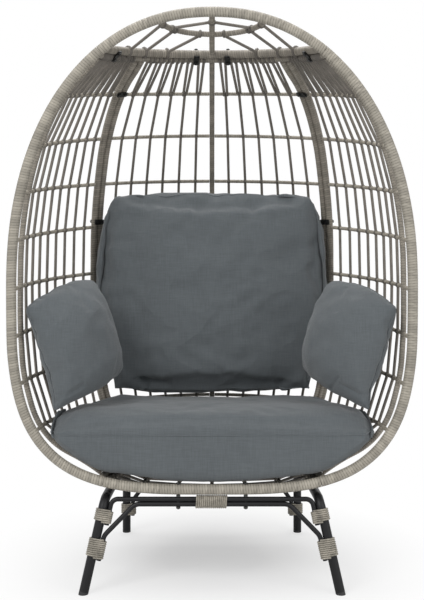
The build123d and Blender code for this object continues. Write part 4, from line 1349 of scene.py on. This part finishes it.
class EGGCHAIR_OT_pillows(bpy.types.Operator):
    """Fill and sew the two side pillows"""

    bl_idname = "egg_chair.pillows"
    bl_label = "Side pillows"

    def execute(self, context):
        for side in SIDES:
            node, body = f"{side}_pillow", f"{side}_pillow_body"
            low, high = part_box(node)
            middle = (low + high) / 2
            facing, upward = self.lie_of(side)
            shape = partial(pulled_corners, middle=middle, facing=facing, upward=upward)
            made = filled_cushion(node, facing, PILLOW_FILLING, shape)
            folds = pixel_folds(made, PILLOW_FOLD_PIXELS[side])
            press_folds(made, folds, PILLOW_ROUGH, PILLOW_SEEDS[side])
            cover(made.data, "cushion cloth")
            settle(made, body, "grey_cloth", node)
            add_seam(made, f"{node}_seam", middle, facing, body)
        return {"FINISHED"}

    def lie_of(self, side):
        """Which way a pillow's open face looks, and which way its top edge lies."""
        across, back, lean = math.cos(PILLOW_TURN), math.sin(PILLOW_TURN), math.cos(PILLOW_LEAN)
        level = Vector((-across, back, 0))
        facing = Vector((-back * lean, -across * lean, math.sin(PILLOW_LEAN)))
        standing = facing.cross(level)
        standing *= 1 if standing.z > 0 else -1
        upward = standing * math.cos(PILLOW_ROLL) - level * math.sin(PILLOW_ROLL)
        if side == "left":
            facing.x, upward.x = -facing.x, -upward.x
        return facing, upward


# Stage

# Place, aim, size and power of each lamp
LAMPS = {
    "key": ((-2.2, -3.0, 3.2), (0, 0, 0.8), 2.2, 88.0),
    "fill": ((2.6, -2.6, 2.2), (0, 0, 0.7), 2.2, 40.0),
    "top": ((0.0, 0.6, 3.6), (0, 0, 0.6), 2.2, 62.0),
}
FLOOR_REACH = 30
FADE_START, FADE_END, FADE_LEAST = 0.15, 0.70, 0.40
SURROUND_LIGHT = 0.36
WHITE = (1, 1, 1, 1)


class EGGCHAIR_OT_stage(bpy.types.Operator):
    """Set the floor, the lamps, the backdrop and the camera"""

    bl_idname = "egg_chair.stage"
    bl_label = "Stage"

    def execute(self, context):
        scene, stage = context.scene, context.scene.egg_stage
        scene.view_settings.view_transform = "Standard"
        self.make_floor(stage)
        self.make_world(scene)
        for name, (place, aim, size, power) in LAMPS.items():
            lamp = bpy.data.lights.new(name, "AREA")
            lamp.energy, lamp.size = power, size
            made = new_object(name, lamp)
            made.location = place
            away = Vector(aim) - Vector(place)
            made.rotation_euler = away.to_track_quat("-Z", "Y").to_euler()
        camera = bpy.data.cameras.new("camera")
        camera.lens, camera.sensor_width = stage.focal, SENSOR_WIDTH
        camera.shift_y = stage.horizon
        scene.camera = new_object("camera", camera)
        scene.camera.location = camera_place()
        scene.camera.rotation_euler = (math.pi / 2, 0.0, 0.0)
        return {"FINISHED"}

    def make_floor(self, stage):
        """A plain pale floor that keeps the shadow and fades to white away from the chair."""
        corners = [
            (across * FLOOR_REACH, back * FLOOR_REACH, 0)
            for across, back in ((-1, -1), (1, -1), (1, 1), (-1, 1))
        ]
        mesh = bpy.data.meshes.new("floor")
        mesh.from_pydata(corners, [], [(0, 1, 2, 3)])
        floor = new_object("floor", mesh)
        material, tree, shader, place = new_material("floor")
        colour = (*stage.floor, 1.0)
        feed(tree, shader, {"Base Color": colour, "Roughness": 0.8, "Specular IOR Level": 0.0})
        path = add_node(tree, "ShaderNodeLightPath")
        lengths = add_node(tree, "ShaderNodeVectorMath", {0: place}, operation="LENGTH")
        white = spread(tree, lengths["Value"], FADE_START, FADE_END, FADE_LEAST, 1.0)
        fade = times(tree, white, path["Is Camera Ray"])
        glow = first_of(tree, "ShaderNodeEmission", {"Color": WHITE, "Strength": 1.0})
        shaders = {0: fade, 1: shader.outputs[0], 2: glow}
        mixed = first_of(tree, "ShaderNodeMixShader", shaders)
        output = next(node for node in tree.nodes if node.type == "OUTPUT_MATERIAL")
        feed(tree, output, {"Surface": mixed})
        mesh.materials.append(material)

    def make_world(self, scene):
        """An even pale surround. What the camera and reflections see of it is white."""
        world = scene.world = bpy.data.worlds.new("surround")
        world.use_nodes = True
        tree = world.node_tree
        tree.nodes.clear()
        path = add_node(tree, "ShaderNodeLightPath")
        bounced = calc(tree, "MAXIMUM", path["Is Glossy Ray"], path["Is Transmission Ray"])
        seen = calc(tree, "MAXIMUM", path["Is Camera Ray"], bounced)
        light, white = (
            first_of(tree, "ShaderNodeBackground", {"Color": WHITE, "Strength": strength})
            for strength in (SURROUND_LIGHT, 1.0)
        )
        mixed = first_of(tree, "ShaderNodeMixShader", {0: seen, 1: light, 2: white})
        feed(tree, tree.nodes.new("ShaderNodeOutputWorld"), {"Surface": mixed})


OPERATORS = (
    EGGCHAIR_OT_rim,
    EGGCHAIR_OT_frames,
    EGGCHAIR_OT_hoops,
    EGGCHAIR_OT_strands,
    EGGCHAIR_OT_base,
    EGGCHAIR_OT_seat_cushion,
    EGGCHAIR_OT_back_cushion,
    EGGCHAIR_OT_pillows,
    EGGCHAIR_OT_stage,
)
GROUP_CLASSES = {
    "egg_wicker": EggChairWicker,
    "egg_cloth": EggChairCloth,
    "egg_base": EggChairBase,
    "egg_stage": EggChairStage,
}


class EGGCHAIR_PT_panel(bpy.types.Panel):
    """Sizes, colours and steps of the egg chair"""

    bl_idname = "EGGCHAIR_PT_panel"
    bl_label = "Egg chair"
    bl_space_type = "VIEW_3D"
    bl_region_type = "UI"
    bl_category = "Egg chair"

    def draw(self, context):
        for key in GROUP_CLASSES:
            box = self.layout.box()
            settings = getattr(context.scene, key)
            for name in settings.__annotations__:
                box.prop(settings, name)
        for operator in OPERATORS:
            self.layout.operator(operator.bl_idname)


def register():
    for key, group in GROUP_CLASSES.items():
        bpy.utils.register_class(group)
        setattr(bpy.types.Scene, key, PointerProperty(type=group))
    for operator in OPERATORS:
        bpy.utils.register_class(operator)
    bpy.utils.register_class(EGGCHAIR_PT_panel)


def unregister():
    bpy.utils.unregister_class(EGGCHAIR_PT_panel)
    for operator in reversed(OPERATORS):
        bpy.utils.unregister_class(operator)
    for key, group in GROUP_CLASSES.items():
        delattr(bpy.types.Scene, key)
        bpy.utils.unregister_class(group)


def main():
    register()
    bpy.ops.egg_chair.rim()
    bpy.ops.egg_chair.frames()
    bpy.ops.egg_chair.hoops()
    bpy.ops.egg_chair.strands()
    bpy.ops.egg_chair.base()
    bpy.ops.egg_chair.seat_cushion()
    bpy.ops.egg_chair.back_cushion()
    bpy.ops.egg_chair.pillows()
    bpy.ops.egg_chair.stage()


if __name__ == "__main__":
    main()
